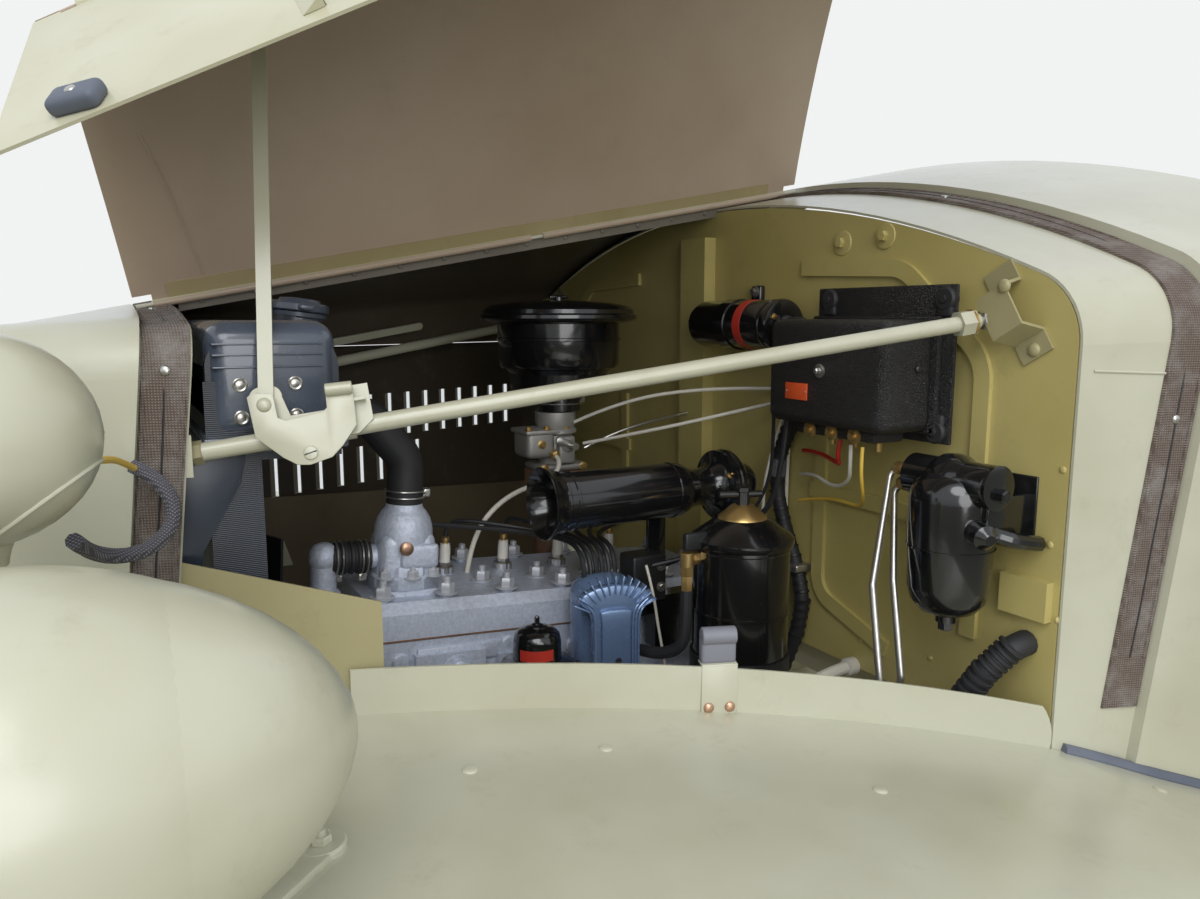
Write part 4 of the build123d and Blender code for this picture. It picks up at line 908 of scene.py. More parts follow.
elbowCollar = spun([(20, -56), (24, -54), (24, -46), (20, -44)], (-0.047, oy, oz + 0.044), corners=6)
hand(lean(join([elbowBall, elbowLeg, elbowCollar])), "pump_elbow", "castSilver")
ribs = [(0.0195, 0.0), (0.0205, 0.001)]
for index in range(5):
    start = 0.004 + index * 0.0095
    ribs += [(0.0205, start), (0.0225, start + 0.002), (0.0225, start + 0.0055), (0.0205, start + 0.0075)]
ribs += [(0.0205, 0.052), (0.0195, 0.053)]
bypass = turned(ribs, (-0.0385, oy, oz + 0.042), (1, 0, 0), corners=32)
bypassPiece = hand(lean(bypass), "bypass_sleeve", "darkRubber")
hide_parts("bypass_hose")
for number, shift in enumerate((-0.029, 0.005)):
    clamp = ringClamp((shift, oy, oz + 0.042), (1, 0, 0), 0.0232, 0.0012, 0.0035)
    hand(lean(clamp), "bypass_clamp_%d" % (number + 1), "bareSteel")
lowEnd = onEngine(ox, oy, oz + 0.116)
hand(ringClamp(lowEnd + engineUp * 0.014, engineUp, 0.0265, 0.0014, 0.0045), "hose_clamp_low", "bareSteel")
highWay = Vector((0.066, 0, -0.021)).normalized()
hand(ringClamp(Vector((-1.2097, -0.04, 0.6359)) + highWay * 0.014, highWay, 0.0265, 0.0014, 0.0045),
    "hose_clamp_high", "bareSteel")
print("water outlet made")


# Cylinder head: nuts on studs, gasket, spark plugs and their leads
headPlan = dict(top=0.05, nutY=0.092, nutStart=0.02, nutPitch=0.0905, plugY=0.025, plugStart=0.052,
    plugPitch=0.096)
nutSpots = []
for index in range(7):
    for side in (-1, 1):
        nutSpots.append((onEngine(headPlan["nutStart"] + index * headPlan["nutPitch"],
            side * headPlan["nutY"], headPlan["top"] + 0.0045), engineUp))
for index in range(6):
    nutSpots.append((onEngine(headPlan["plugStart"] + 0.045 + index * 0.0905, -0.03,
        headPlan["top"] + 0.0002), engineUp))
hand(scatter(studModel(0.0195, 0.013, 0.022, 0.0025), nutSpots), "head_nuts", "engineSilver")
gasket = blocky((-0.0012, -0.1195, -0.0012), (0.5852, 0.1195, 0.0014), 0.0005, 1)
hand(lean(gasket), "head_gasket", "rustyIron")
plugSpots = [(onEngine(headPlan["plugStart"] + index * headPlan["plugPitch"], headPlan["plugY"],
    headPlan["top"]), engineUp) for index in range(6)]
plugHex = spun([(13.5, 0.4), (14.8, 2), (14.8, 11), (12.5, 13), (10.5, 14), (10.5, 18)], corners=6)
hand(scatter(plugHex, plugSpots), "plug_bodies", "bareSteel")
plugClay = spun([(8.5, 16), (8.8, 20), (8.2, 22), (8.5, 36), (7.8, 44), (7.4, 46.8)], corners=24)
hand(scatter(plugClay, plugSpots), "plug_insulators", "plugClay")
plugTip = spun([(4.5, 46.5), (4.5, 50), (6.2, 51), (6.2, 56), (3, 58)], corners=12)
hand(scatter(plugTip, plugSpots), "plug_tips", "brass")
leads = []
for index in range(6):
    along = headPlan["plugStart"] + index * headPlan["plugPitch"]
    top = onEngine(along, headPlan["plugY"], headPlan["top"] + 0.056)
    aside = onEngine(along + (0.3 - along) * 0.25, headPlan["plugY"] - 0.035, headPlan["top"] + 0.086)
    near = onEngine(0.285 + index * 0.012, -0.075, headPlan["top"] + 0.074)
    end = Vector((-0.88 + index * 0.01, -0.168, 0.384))
    leads.append(hose([top, top + engineUp * 0.026, aside, near, end + Vector((0, 0, 0.04)), end], 0.0036,
        2, 5))
hand(join(leads), "plug_leads", "blackCable")
sidePlug = join([spun([(16, 0), (17.5, 2), (17.5, 10), (14, 12)], onEngine(0.118, -0.1305, -0.046),
    (0, -1, 0), corners=6), spun([(22, -4), (23, 0), (22, 2)], onEngine(0.118, -0.1305, -0.046),
    (0, -1, 0), corners=32)])
bosses = scatter(spun([(11, -2), (12, 4), (10, 6), (5, 6.5)], corners=28), [(onEngine(0.04, -0.118, -0.028),
    (0, -1, 0)), (onEngine(0.196, -0.118, -0.02), (0, -1, 0)), (onEngine(0.3, -0.118, -0.034), (0, -1, 0))])
pad = blocky((0.062, -0.1235, -0.036), (0.19, -0.1165, -0.012), 0.003, 2)
hand(join([sidePlug, bosses, lean(pad)]), "block_fittings", "castSilver", slot="engine_paint")
print("engine dressed")


# Bonnet: riveted leaf along the middle hinge, crease under it, bumper and rivets on the folded side
bonnetPlan = dict(front=(-1.38, -0.0168, 0.7759), rear=(-0.405, -0.0206, 0.9623), facing=(0.05, -0.89, -0.46),
    up=(-0.172, -0.461, 0.873))
hingeFront, hingeRear = Vector(bonnetPlan["front"]), Vector(bonnetPlan["rear"])
inward, upPanel = Vector(bonnetPlan["facing"]).normalized(), Vector(bonnetPlan["up"]).normalized()


def onPanel(share, rise):  # a place just inside the raised top panel, along and up from its hinge
    return hingeFront.lerp(hingeRear, share) + upPanel * rise + inward * 0.03


leafRows = [[onPanel(step / 24, rise) for rise in (0.002, 0.009, 0.017)] for step in range(25)]
leafHits = [[touch("bonnet_top_left", place, -inward) for place in row] for row in leafRows]
leafHits = [[hit[0] for hit in row] for row in leafHits if all(row)]
leafHits = [[row[0] * 2 - row[1]] + row for row in leafHits]  # the leaf's lip reaches a little past the pin
hand(strip(leafHits, 0.0028), "bonnet_hinge_leaf", "hingeOlive", topLeft, "olive")
hangRows, rivetSpots = [], []
for step in range(25):
    edge = hingeFront.lerp(hingeRear, (step + 0.3) / 25)
    hangRows.append([edge + Vector((0, 0.007, -0.0012)), edge + Vector((0, 0.012, -0.012)),
                     edge + Vector((0, 0.014, -0.0215))])
for step in range(15):
    edge = hingeFront.lerp(hingeRear, 0.04 + step * 0.066)
    rivetSpots.append((edge + Vector((0, 0.0112, -0.0125)), (0, -1, -0.2)))
hand(strip(hangRows, 0.002), "hinge_hanger", "hingeGrey")
hand(scatter(rivetModel(0.0042, 0.0022), rivetSpots), "hinge_hanger_rivets", "hingeGrey")
bumper = blocky((-0.022, -0.0135, -0.001), (0.022, 0.0135, 0.014), 0.006, 4)
bumperSpot = Vector((-1.4577, -0.4283, 0.9121))
foldFacing = Vector((-0.53, -0.45, 0.72))
hand(settle(bumper, bumperSpot, foldFacing, along=(0.875, -0.485, 0.0)), "bonnet_bumper", "blueRubber",
    sideLeft, "hose")
crease = [onPanel(0.045, 0.02), onPanel(0.035, 0.1), onPanel(0.01, 0.2)]
hit = [touch("bonnet_top_left", place, -inward) for place in crease]
hand(hose([found[0] for found in hit if found], 0.0012, 2, 4), "bonnet_crease", "bonnetTopLeft", topLeft,
    "olive")
hand(scatter(rivetModel(0.0048, 0.0022), [(bumperSpot + foldFacing.normalized() * 0.0135, foldFacing)]),
     "bonnet_bumper_rivet", "bareSteel", sideLeft, "steel")
print("bonnet dressed")


# Prop bracket and stay rod fittings
bracketPlan = dict(place=(-1.3268, -0.362, 0.6685), facing=(-0.307, -0.916, 0.258), outline=((247, 398),
    (252, 394), (273, 394), (278, 418), (286, 421), (323, 412), (327, 408), (325, 389), (330, 384),
    (348, 383), (353, 390), (357, 425), (343, 446), (333, 457), (311, 465), (298, 465), (284, 458),
    (256, 438)))
bracketFacing = Vector(bracketPlan["facing"]).normalized()
bracketPlace = Vector(bracketPlan["place"]) - bracketFacing * 0.0014
corners = [onPlane(u, v, bracketPlace, bracketFacing) for u, v in bracketPlan["outline"]]
bracketAlong = (corners[11] - corners[17]).normalized()
bracketAcross = bracketFacing.cross(bracketAlong)
flat = [((spot - bracketPlace).dot(bracketAlong), (spot - bracketPlace).dot(bracketAcross))
    for spot in corners]
rollStart, rollEnd = (onPlane(u, v, bracketPlace + bracketFacing * 0.004, bracketFacing)
                      for u, v in ((325, 390), (352, 387)))
pinSpot, screwSpot = (onPlane(u, v, bracketPlace + bracketFacing * 0.0022, bracketFacing)
                      for u, v in ((264, 405), (311, 453)))
plates, pins, screws = [], [], []
for side in (1, -1):
    facing = flip(bracketFacing, side)
    sheetPiece = outlineSheet([(u, v * side) for u, v in flat], 0.0024, 0.0006)
    plates.append(settle(sheetPiece, flip(bracketPlace, side), facing, along=flip(bracketAlong, side)))
    way = flip(rollEnd - rollStart, side)
    plates.append(turned([(0.0055, 0.0), (0.0062, 0.0008), (0.0062, way.length - 0.0008),
        (0.0055, way.length)], flip(rollStart, side), way, corners=24))
    pins.append((flip(pinSpot, side), facing))
    screws.append((flip(screwSpot, side), facing))
hand(join(plates), "prop_bracket_plates", "olivePaint")
hand(scatter(rivetModel(0.007, 0.0042), pins), "prop_bracket_pins", "olivePaint")
screwHead = spun([(6.2, 0), (6.8, 1), (6, 2), (3, 2.6)], corners=28)
hand(scatter(screwHead, screws), "prop_bracket_screws", "olivePaint")
slotMark = blocky((-0.0058, -0.0007, 0.0016), (0.0058, 0.0007, 0.0027), 0.0002, 1)
hand(scatter(slotMark, screws), "prop_bracket_slots", "blackSatin")
stayBolts = spotsOn("stay_brackets", ((1004, 286), (1034, 350)))
hand(scatter(rivetModel(0.0078, 0.004), stayBolts), "stay_bracket_bolts", "olivePaintedShade")
rodWay = Vector((0.815, -0.238, 0.126)).normalized()
rodEnd = Vector((-0.583, -0.564, 0.745))
nut = join([spun([(12, 0), (13.2, 1), (13.2, 9), (11.5, 10.5)], rodEnd - rodWay * 0.02, rodWay, corners=6),
    spun([(14.5, 10.5), (15, 11), (15, 12.5), (14, 13)], rodEnd - rodWay * 0.02, rodWay, corners=28)])
hand(nut, "stay_rod_nut", "brass")
backNut = join([spun([(10.5, 4), (11.5, 5), (11.5, 12), (10, 13)], rodEnd, rodWay, corners=6), spun([(7.2, 0),
    (7.2, 20), (6, 22)], rodEnd, rodWay, corners=16)])
hand(backNut, "stay_rod_back_nut", "bareSteel")
frontNut = spun([(10.5, 0), (11.8, 1), (11.8, 9), (10.5, 10)],
    Vector((-1.398, -0.326, 0.619)) + rodWay * 0.01, rodWay, corners=6)
hand(frontNut, "stay_rod_front_nut", "oliveRail")


# Radiator: rounded top tank with pressed ribs, ring rivets and a cap with two ears
tankBox = dict(low=(-1.372, -0.324, 0.63), high=(-1.246, 0.324, 0.746))
tank = blocky(tankBox["low"], tankBox["high"], 0.022, 6)
skirt = blocky((-1.38, -0.33, 0.617), (-1.24, 0.33, 0.6275), 0.003, 2)
lipRib = blocky((-1.378, -0.327, 0.627), (-1.243, 0.327, 0.633), 0.002, 2)
ribsMade = []
for level in (0.7, 0.712, 0.7225):  # pressed lines round the end of the tank
    ribsMade.append(blocky((-1.366, -0.3255, level), (-1.262, 0.3255, level + 0.0022), 0.0008, 2))
hand(join([tank, skirt, lipRib] + ribsMade), "radiator_tank", "tankBlue")
gussets = []
for side in (-1, 1):
    gusset = outlineSheet([(-0.044, 0.0), (0.046, 0.0), (0.04, -0.03), (0.002, -0.096), (-0.008, -0.16),
        (-0.03, -0.16), (-0.036, -0.06)], 0.002, 0.0005)
    upright = Matrix.Translation((-1.386, side * 0.3225, 0.618)) @ Matrix.Rotation(quarterTurn, 4, "X")
    gussets.append(carry(gusset, upright))
hand(join(gussets), "radiator_gussets", "radiatorBlue")
ringSpots = [((-1.312 + shift, side * 0.3242, level), (0, side, 0)) for side in (-1, 1)
    for shift in (-0.03, 0.022) for level in (0.652, 0.684)]
ringRivet = spun([(6.8, -0.6), (7.2, 0.6), (6, 1.4), (4.2, 0.6), (4, 1.4), (1.5, 2)], corners=20)
hand(scatter(ringRivet, ringSpots), "radiator_rivets", "bareSteel", slot="radiator_paint")
capPlace, capWay = Vector((-1.236, -0.066, 0.738)), Vector((0.12, 0, 0.99))
neck = spun([(27, 0), (27.5, 10), (33, 12), (33.5, 17), (30, 18)], capPlace, capWay, corners=40)
lidRound = spun([(34.5, 18.5), (36, 20), (36, 27), (34, 29.5), (27, 30.5), (25, 34), (12, 35.5)], capPlace,
    capWay, corners=44)
ears = settle(blocky((-0.009, -0.048, 0.0195), (0.009, 0.048, 0.0275), 0.003, 3), capPlace, capWay)
capPiece = hand(join([neck, lidRound, ears]), "radiator_cap_lid", "tankBlue")
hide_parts("radiator_cap")
print("radiator dressed")


# Bulkhead: washered bolts and small rivets
boltSpots = spotsOn("bulkhead", ((843, 243), (886, 236)))
bigWasher = join([spun([(16.5, -0.5), (17.2, 0.8), (16.5, 2.4), (10.5, 3.2)], corners=32),
    hexModel(0.0125, 0.0065, 0.003)])
hand(scatter(bigWasher, boltSpots), "bulkhead_bolts", "oliveInside")
screwSpots = spotsOn("bulkhead", ((800, 410), (812, 395), (1050, 545), (1058, 620), (1012, 640), (860, 640),
    (930, 658), (1063, 470)))
hand(scatter(rivetModel(0.0042, 0.002), screwSpots), "bulkhead_rivets", "oliveInside")
print("bulkhead dressed")


# Woven strips: bound edges, a stitched middle line and rivets
stripPlan = dict(arch=118, steps=44, axisHeight=0.45)


def weltOf(node, name, shiftX):  # edge cords and rivets along a woven strip over the body's arch
    edges, middles = [[], []], []
    axis = Vector((shiftX, 0, stripPlan["axisHeight"]))
    for step in range(stripPlan["steps"] + 1):
        lay = math.radians(-stripPlan["arch"] + 2 * stripPlan["arch"] * step / stripPlan["steps"])
        away = Vector((0, -math.sin(lay), math.cos(lay)))
        row = []
        for slide in range(-36, 37):
            hit = touch(node, axis + Vector((slide * 0.002, 0, 0)) + away * 1.3, -away)
            if hit and (hit[0] - axis).dot(away) > 0:
                row.append(hit)
        if len(row) > 6:
            edges[0].append(row[1][0])
            edges[1].append(row[-2][0])
            middles.append(row[len(row) // 2])
    for number, edge in enumerate(edges):
        hand(hose(edge, 0.0022, 2, 2), "%s_edge_%d" % (name, number + 1), "wovenStrip")
    hand(hose([spot + normal * 0.0002
        for spot, normal in middles], 0.001, 1, 2), name + "_stitch", "blackCable", slot="strip")
    spots = [(spot + normal * 0.0002, normal) for spot, normal in middles[3::7]]
    hand(scatter(rivetModel(0.005, 0.0022), spots), name + "_rivets", "bareSteel")


seamRow = spotsOn("cowl", [(u, 371 + (u - 1090) * 0.03) for u in range(1094, 1190, 8)])
seams = [hose([flip(spot + normal * 0.0004, side) for spot, normal in seamRow], 0.0016, 2, 2)
    for side in (1, -1)]
hand(join(seams), "cowl_seam", "olivePaint")
weltOf("cowl_webbing", "cowl_strip", -0.438)
weltOf("shell_webbing", "shell_strip", -1.42)
print("woven strips dressed")


# Wing: catch strap with its rubber block, rivets, and the anti-squeak cord along the cowl
catchPlace = spotsOn("wing_left", ((719, 692),))[0][0]
straps, blocks, studs = [], [], []
for side in (1, -1):
    outward = Vector((-0.355, -0.935 * side, 0)).normalized()
    along = Vector((0.935, -0.355 * side, 0)).normalized()
    seat = flip(catchPlace, side)
    plate = blocky((-0.0195, -0.024, -0.0005), (0.0195, 0.03, 0.0022), 0.0012, 2)
    straps.append(settle(plate, seat, outward, along=along))
    lip = blocky((-0.0195, 0.0285, -0.016), (0.0195, 0.0312, 0.0022), 0.001, 2)
    straps.append(settle(lip, seat, outward, along=along))
    block = blocky((-0.019, 0.03, -0.017), (0.019, 0.058, -0.0015), 0.004, 3)
    blocks.append(settle(block, seat, outward, along=along))
    roll = spun([(8.5, -18.5), (9.5, -17.5), (9.5, 17.5), (8.5, 18.5)],
        seat + Vector((0, 0, 0.06)) - outward * 0.0065, along, corners=24)
    blocks.append(roll)
    for shift in (-0.0115, 0.0115):
        studs.append((seat + along * shift - Vector((0, 0, 0.016)) + outward * 0.0022, outward))
hand(join(straps), "catch_straps", "olivePaint")
catchBlocks = hand(join(blocks), "catch_blocks", "greyRubber")
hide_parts("bonnet_catches")
hand(scatter(rivetModel(0.0058, 0.0028), studs), "catch_rivets", "copper")

wingHits = spotsOn("wing_left", ((606, 748), (1160, 790), (880, 790), (470, 770)))
wingSpots = [(flip(spot, side), flip(normal, side)) for spot, normal in wingHits for side in (1, -1)]
hand(scatter(rivetModel(0.0072, 0.0022), wingSpots), "wing_rivets", "olivePaint")
joint = []  # where the cowl stands on the wing
for step in range(10):
    x = -0.535 + step * 0.0455
    y, z = -0.7, 0.2
    for turn in range(5):
        y = touch("cowl", (x, -1.3, z + 0.01), (0, 1, 0))[0].y
        z = touch("wing_left", (x, y - 0.006, 0.9), (0, 0, -1))[0].z
    joint.append(Vector((x, y - 0.003, z + 0.002)))
for side, name in ((1, "left"), (-1, "right")):
    hand(hose([flip(place, side) for place in joint], 0.0075, 3, 4), "wing_welt_" + name, "blueRubber")
print("wings dressed")


# Splash aprons close the gap between each wing's flange and its rail; their dark olive (shadowOlive) is
# painted shade for that gap
apron = dict(front=-1.29, pitch=0.051, waist=0.16, rail=-0.424, foot=0.002)
for side, name, top in ((1, "left", 0.29), (-1, "right", 0.436)):
    rows = []
    for step in range(15):
        x = apron["front"] + step * apron["pitch"]
        flange = -0.39 - (x + 1.2842) * 0.379
        crest = top - 0.005 * step
        rows.append([(x, flange * side, crest), (x, (flange * 0.8 - 0.08) * side, apron["waist"]),
                     (x, apron["rail"] * side, apron["foot"])])
    hand(strip(rows, 0.002), "splash_apron_" + name, "shadowOlive")
print("aprons made")


# Wires of the coil, regulator and bulkhead, the loom, the breather hose and the heater stub
def cable(name, points, radius, finish, slot="hose"):
    return hand(hose(points, radius, 2, 6), name, finish, slot=slot)


cable("wire_coil_high", [(-0.59, -0.29, 0.738), (-0.598, -0.318, 0.734), (-0.618, -0.318, 0.7),
    (-0.632, -0.305, 0.64), (-0.636, -0.3, 0.56), (-0.64, -0.28, 0.47), (-0.7, -0.2, 0.4),
    (-0.77, -0.165, 0.385)], 0.0038, "blackCable")
cable("wire_coil_low", [(-0.612, -0.252, 0.75), (-0.622, -0.266, 0.742), (-0.63, -0.266, 0.69),
    (-0.622, -0.262, 0.6), (-0.62, -0.255, 0.5), (-0.66, -0.21, 0.42), (-0.75, -0.165, 0.38)], 0.0026,
    "blackCable")
cable("wire_regulator_red", [(-0.615, -0.388, 0.59), (-0.618, -0.386, 0.57), (-0.606, -0.378, 0.556),
    (-0.59, -0.36, 0.552), (-0.572, -0.3, 0.56), (-0.566, -0.262, 0.556)], 0.003, "redCable")
cable("wire_regulator_pale", [(-0.628, -0.42, 0.588), (-0.63, -0.422, 0.566), (-0.618, -0.41, 0.536),
    (-0.6, -0.36, 0.52), (-0.58, -0.3, 0.53), (-0.566, -0.258, 0.52)], 0.0026, "paleCable")
cable("wire_regulator_yellow", [(-0.64, -0.452, 0.59), (-0.642, -0.452, 0.56), (-0.622, -0.44, 0.52),
    (-0.596, -0.41, 0.5), (-0.575, -0.33, 0.5), (-0.566, -0.256, 0.48)], 0.0024, "yellowCable")
cable("wire_bulkhead_high", [(-0.5475, -0.18, 0.64), (-0.62, -0.1, 0.64), (-0.72, 0.02, 0.612),
    (-0.78, 0.11, 0.56)], 0.0028, "paleCable")
cable("wire_bulkhead_low", [(-0.5475, -0.2, 0.624), (-0.61, -0.15, 0.604), (-0.69, -0.05, 0.57),
    (-0.76, 0.06, 0.54)], 0.0028, "paleCable")
cable("wire_loom_pale", [(-0.548, -0.232, 0.64), (-0.552, -0.214, 0.6), (-0.552, -0.212, 0.48),
    (-0.556, -0.216, 0.38), (-0.58, -0.236, 0.33), (-0.6, -0.262, 0.25)], 0.0028, "paleCable")
cable("wire_loom_far", [(-0.548, -0.206, 0.62), (-0.566, -0.196, 0.56), (-0.58, -0.186, 0.47),
    (-0.56, -0.18, 0.4), (-0.5475, -0.176, 0.37)], 0.0028, "paleCable")
loomPixels = ((822, 402), (806, 408), (788, 430), (779, 458), (777, 490), (785, 528), (797, 566), (803, 600),
    (797, 632), (784, 664), (770, 700))
loomPath = [onPlane(u, v, Vector((-0.5605, 0, 0)), Vector((-1, 0, 0))) for u, v in loomPixels]
loom = hand(hose(loomPath, 0.0108, 4, 6), "loom_sleeve", "darkRubber")
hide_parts("wiring_loom")
loomRings = ringsAlong(loomPath[2:], (0.0, 0.25, 0.5, 0.75))
ring = spun([(9.8, -2.4), (12, -1.6), (12, 1.6), (9.8, 2.4)], corners=18)
hand(scatter(ring, loomRings), "loom_ribs", "blackCable")
loomClip = blocky((-0.576, loomPath[6].y - 0.016, loomPath[6].z - 0.006),
    (-0.5462, loomPath[6].y + 0.016, loomPath[6].z + 0.006), 0.003)
hand(loomClip, "loom_clip", "bareSteel")
tape = spun([(11.6, 0), (13.2, 2), (13.2, 26), (11.6, 28)], loomPath[3], loomPath[4] - loomPath[3],
    corners=24)
hand(tape, "loom_tape", "greyBraid")
breatherPath = [Vector(place) for place in ((-0.546, -0.628, 0.378), (-0.572, -0.627, 0.376),
    (-0.59, -0.608, 0.345), (-0.6, -0.585, 0.3), (-0.6, -0.562, 0.25), (-0.6, -0.54, 0.2))]
breather = hose(breatherPath, 0.0148, 4, 6)
breatherRings = ringsAlong(breatherPath[1:], (0.0, 0.2, 0.4, 0.6, 0.8))
breatherRing = spun([(13.8, -3), (16.8, -1.8), (16.8, 1.8), (13.8, 3)], corners=28)
breatherPiece = hand(join([breather, scatter(breatherRing, breatherRings)]), "breather_sleeve", "darkRubber")
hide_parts("breather_hose")
paleEnd = join([spun([(11, 0), (12.5, 2), (12.5, 16), (9, 18)], (-0.5455, -0.362, 0.257), (-1, 0, 0),
    corners=20), hose([(-0.56, -0.362, 0.257), (-0.58, -0.36, 0.255), (-0.62, -0.35, 0.24),
    (-0.65, -0.33, 0.2)], 0.0085)])
hand(paleEnd, "heater_stub", "paleCable", slot="olive")
print("wires made")


# Lamps: conduit, rim, pods, seam and feet
conduitPixels = ((132, 466, -0.352), (150, 474, -0.36), (166, 489, -0.366), (175, 508, -0.369),
    (170, 530, -0.372), (152, 548, -0.376), (128, 556, -0.382), (104, 556, -0.396), (84, 549, -0.425),
    (74, 541, -0.45))
conduit = [onPlane(u, v, Vector((0, y, 0)), Vector((0, 1, 0))) for u, v, y in conduitPixels]
cable("lamp_conduit", conduit, 0.0068, "greyBraid")
wirePixels = ((96, 461, -0.5), (108, 459, -0.46), (120, 461, -0.4), (136, 469, -0.354))
cable("lamp_wire", [onPlane(u, v, Vector((0, y, 0)), Vector((0, 1, 0))) for u, v, y in wirePixels], 0.003,
      "yellowCable")


# a round-ended pod open at the front, drawn as rings along X
def lampPod(place, radius, tail, drum, full, fall):
    rings = [(radius - 0.003, -drum + 0.002), (radius, -drum), (radius, 0.0)]
    for step in range(1, 13):
        share = math.sin(math.radians(90 * step / 12.4))
        rings.append((radius * (1 - share ** full) ** fall, tail * share))
    return turned(rings, place, (1, 0, 0), corners=64)


smallRim = spun([(71.8, 0), (74, 1), (74.5, 6), (74, 11), (71.8, 12)], (-1.617, -0.546, 0.67), (1, 0, 0),
    corners=64)
hand(smallRim, "driving_lamp_rim", "bareSteel")
bigPods = join([lampPod((-1.56, side * 0.7, 0.492), 0.1234, 0.2295, 0.093, 2.25, 0.56) for side in (-1, 1)])
hand(bigPods, "headlamp_pods", "olivePaint")
podPlace = Vector((-1.567, -0.546, 0.67))
smallPod = lampPod(podPlace, 0.076, 0.1065, 0.046, 2.5, 0.5)
hand(smallPod, "driving_lamp_pod", "olivePaint")

# Seam of the small pod: a raised ring where a sloping plane cuts it
cut = Vector((0.577, -0.118, -0.808)).normalized()
sloping = cut.cross(Vector((0, 1, 0))).normalized()
bpy.context.view_layer.update()
seamMiddle = podPlace + cut * 0.0753
seamRing = []
for step in range(49):
    turn = math.tau * step / 48
    way = sloping * math.cos(turn) + cut.cross(sloping) * math.sin(turn)
    found, spot, normal, face = smallPod.ray_cast(seamMiddle + way * 0.3, -way)
    if found:
        seamRing.append(spot + normal * 0.0004)
hand(hose(seamRing, 0.0016, 2, 2), "driving_lamp_seam", "olivePaint")

# Ears of the headlamp feet, bolted down on the wings
ears, earBolts = [], []
for side in (1, -1):
    for endX, endY in ((-1.3365, -0.5956), (-1.3365, -0.8044), (-1.585, -0.625), (-1.585, -0.775)):
        start = Vector((-1.475, -0.7, 0))
        reach = Vector((endX, endY, 0)) - start
        seat = touch("wing_left", (start.x + reach.x * 0.62, start.y + reach.y * 0.62, 0.36), (0, 0, -1))
        end = touch("wing_left", (endX, endY, 0.36), (0, 0, -1))
        away = flip(end[1], side)
        half = reach.length * 0.36
        ear = blocky((-half, -0.017, -0.004), (half, 0.017, 0.0055), 0.0025, 2)
        ears.append(settle(ear, flip(seat[0], side), flip(seat[1], side), along=flip(reach, side)))
        tip = flip(end[0], side)
        ears.append(spun([(19.5, -4), (19.5, 4), (17.5, 6)], tip, away, corners=32))
        earBolts.append((tip + away * 0.006, away))
hand(join(ears), "headlamp_foot_ears", "olivePaint")
hand(scatter(studModel(0.015, 0.006, 0.009), earBolts), "headlamp_foot_bolts", "olivePaint")
print("lamps made")


# Floor, light and camera
studio = dict(floorDrop=0.62, floorSize=60, floorColour=(226, 226, 222), worldLevel=0.92, keyPower=95,
    fillPower=34, lowSky=(0.42, 0.4, 0.34, 1), highSky=(0.98, 1.02, 1.08, 1),
    backdrop=(0.93, 0.94, 0.94, 1), backdropLevel=0.95)
lowest = cadBox[0][2] - studio["floorDrop"]
bpy.ops.mesh.primitive_plane_add(size=studio["floorSize"], location=(0, 0, lowest))
floor = bpy.context.object
floor.name = "floor"
floorShader = Shader("floorPale")
toCamera = floorShader.node("ShaderNodeLightPath", output="Is Camera Ray")
floorShader.set(Base_Color=floorShader.mix(shade(124, 122, 108), shade(*studio["floorColour"]), toCamera),
    Roughness=0.9)
floor.data.materials.append(floorShader.material)

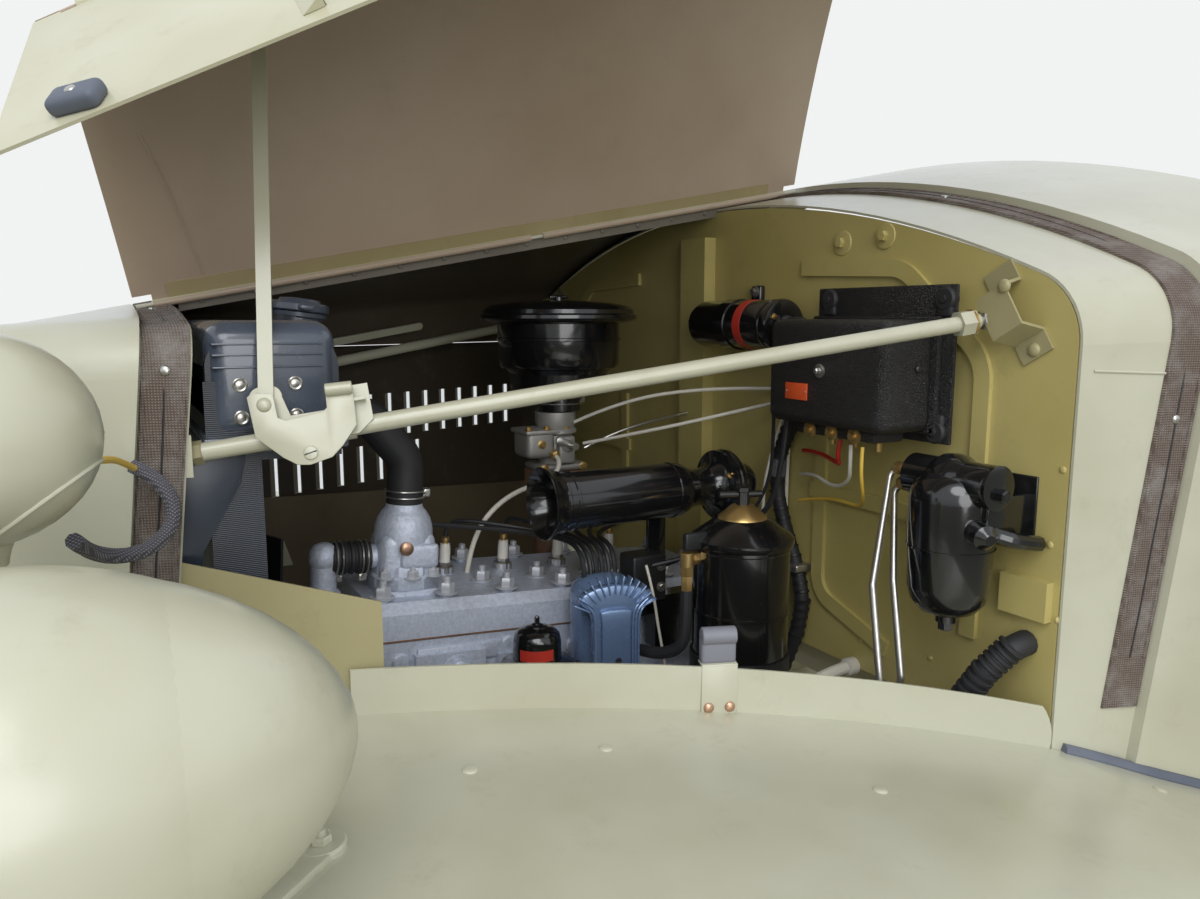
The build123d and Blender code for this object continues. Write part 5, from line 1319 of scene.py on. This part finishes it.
world = bpy.data.worlds.new("studioWorld")
bpy.context.scene.world = world
world.use_nodes = True
worldTree = world.node_tree
worldTree.nodes.clear()
output = worldTree.nodes.new("ShaderNodeOutputWorld")
lit = worldTree.nodes.new("ShaderNodeBackground")
sky = worldTree.nodes.new("ShaderNodeTexCoord")
split = worldTree.nodes.new("ShaderNodeSeparateXYZ")
ramp = worldTree.nodes.new("ShaderNodeValToRGB")
ramp.color_ramp.elements[0].position = 0.3
ramp.color_ramp.elements[0].color = studio["lowSky"]
ramp.color_ramp.elements[1].position = 0.62
ramp.color_ramp.elements[1].color = studio["highSky"]
raiseUp = worldTree.nodes.new("ShaderNodeMapRange")
raiseUp.inputs["From Min"].default_value = -1.0
lit.inputs["Strength"].default_value = studio["worldLevel"]
seen = worldTree.nodes.new("ShaderNodeBackground")
seen.inputs["Color"].default_value = studio["backdrop"]
seen.inputs["Strength"].default_value = studio["backdropLevel"]
rays = worldTree.nodes.new("ShaderNodeLightPath")
choose = worldTree.nodes.new("ShaderNodeMixShader")
for start, end in ((sky.outputs["Generated"], split.inputs[0]),
                   (split.outputs["Z"], raiseUp.inputs["Value"]),
                   (raiseUp.outputs["Result"], ramp.inputs["Fac"]),
                   (ramp.outputs["Color"], lit.inputs["Color"]),
                   (rays.outputs["Is Camera Ray"], choose.inputs[0]),
                   (lit.outputs[0], choose.inputs[1]),
                   (seen.outputs[0], choose.inputs[2]),
                   (choose.outputs[0], output.inputs["Surface"])):
    worldTree.links.new(start, end)


def areaLamp(name, place, aim, size, power):
    bpy.ops.object.light_add(type="AREA", location=place)
    lamp = bpy.context.object
    lamp.name = name
    lamp.data.shape = "DISK"
    lamp.data.size = size
    lamp.data.energy = power
    lamp.rotation_euler = (Vector(aim) - Vector(place)).to_track_quat("-Z", "Y").to_euler()


areaLamp("keyLamp", (-2.6, -3.4, 3.6), (-0.7, -0.3, 0.4), 3.0, studio["keyPower"])
areaLamp("fillLamp", (-1.6, -3.6, 1.2), (-0.7, -0.2, 0.5), 2.0, studio["fillPower"])

bpy.ops.object.camera_add(location=view["place"],
                          rotation=(math.radians(90 - view["pitch"]), 0, math.radians(-view["yaw"])))
camera = bpy.context.object
camera.data.lens = view["lens"]
camera.data.sensor_width = view["sensor"]
camera.data.sensor_fit = "HORIZONTAL"
camera.data.clip_start = 0.02
bpy.context.scene.camera = camera
bpy.context.scene.view_settings.view_transform = "Standard"
print("stage set")
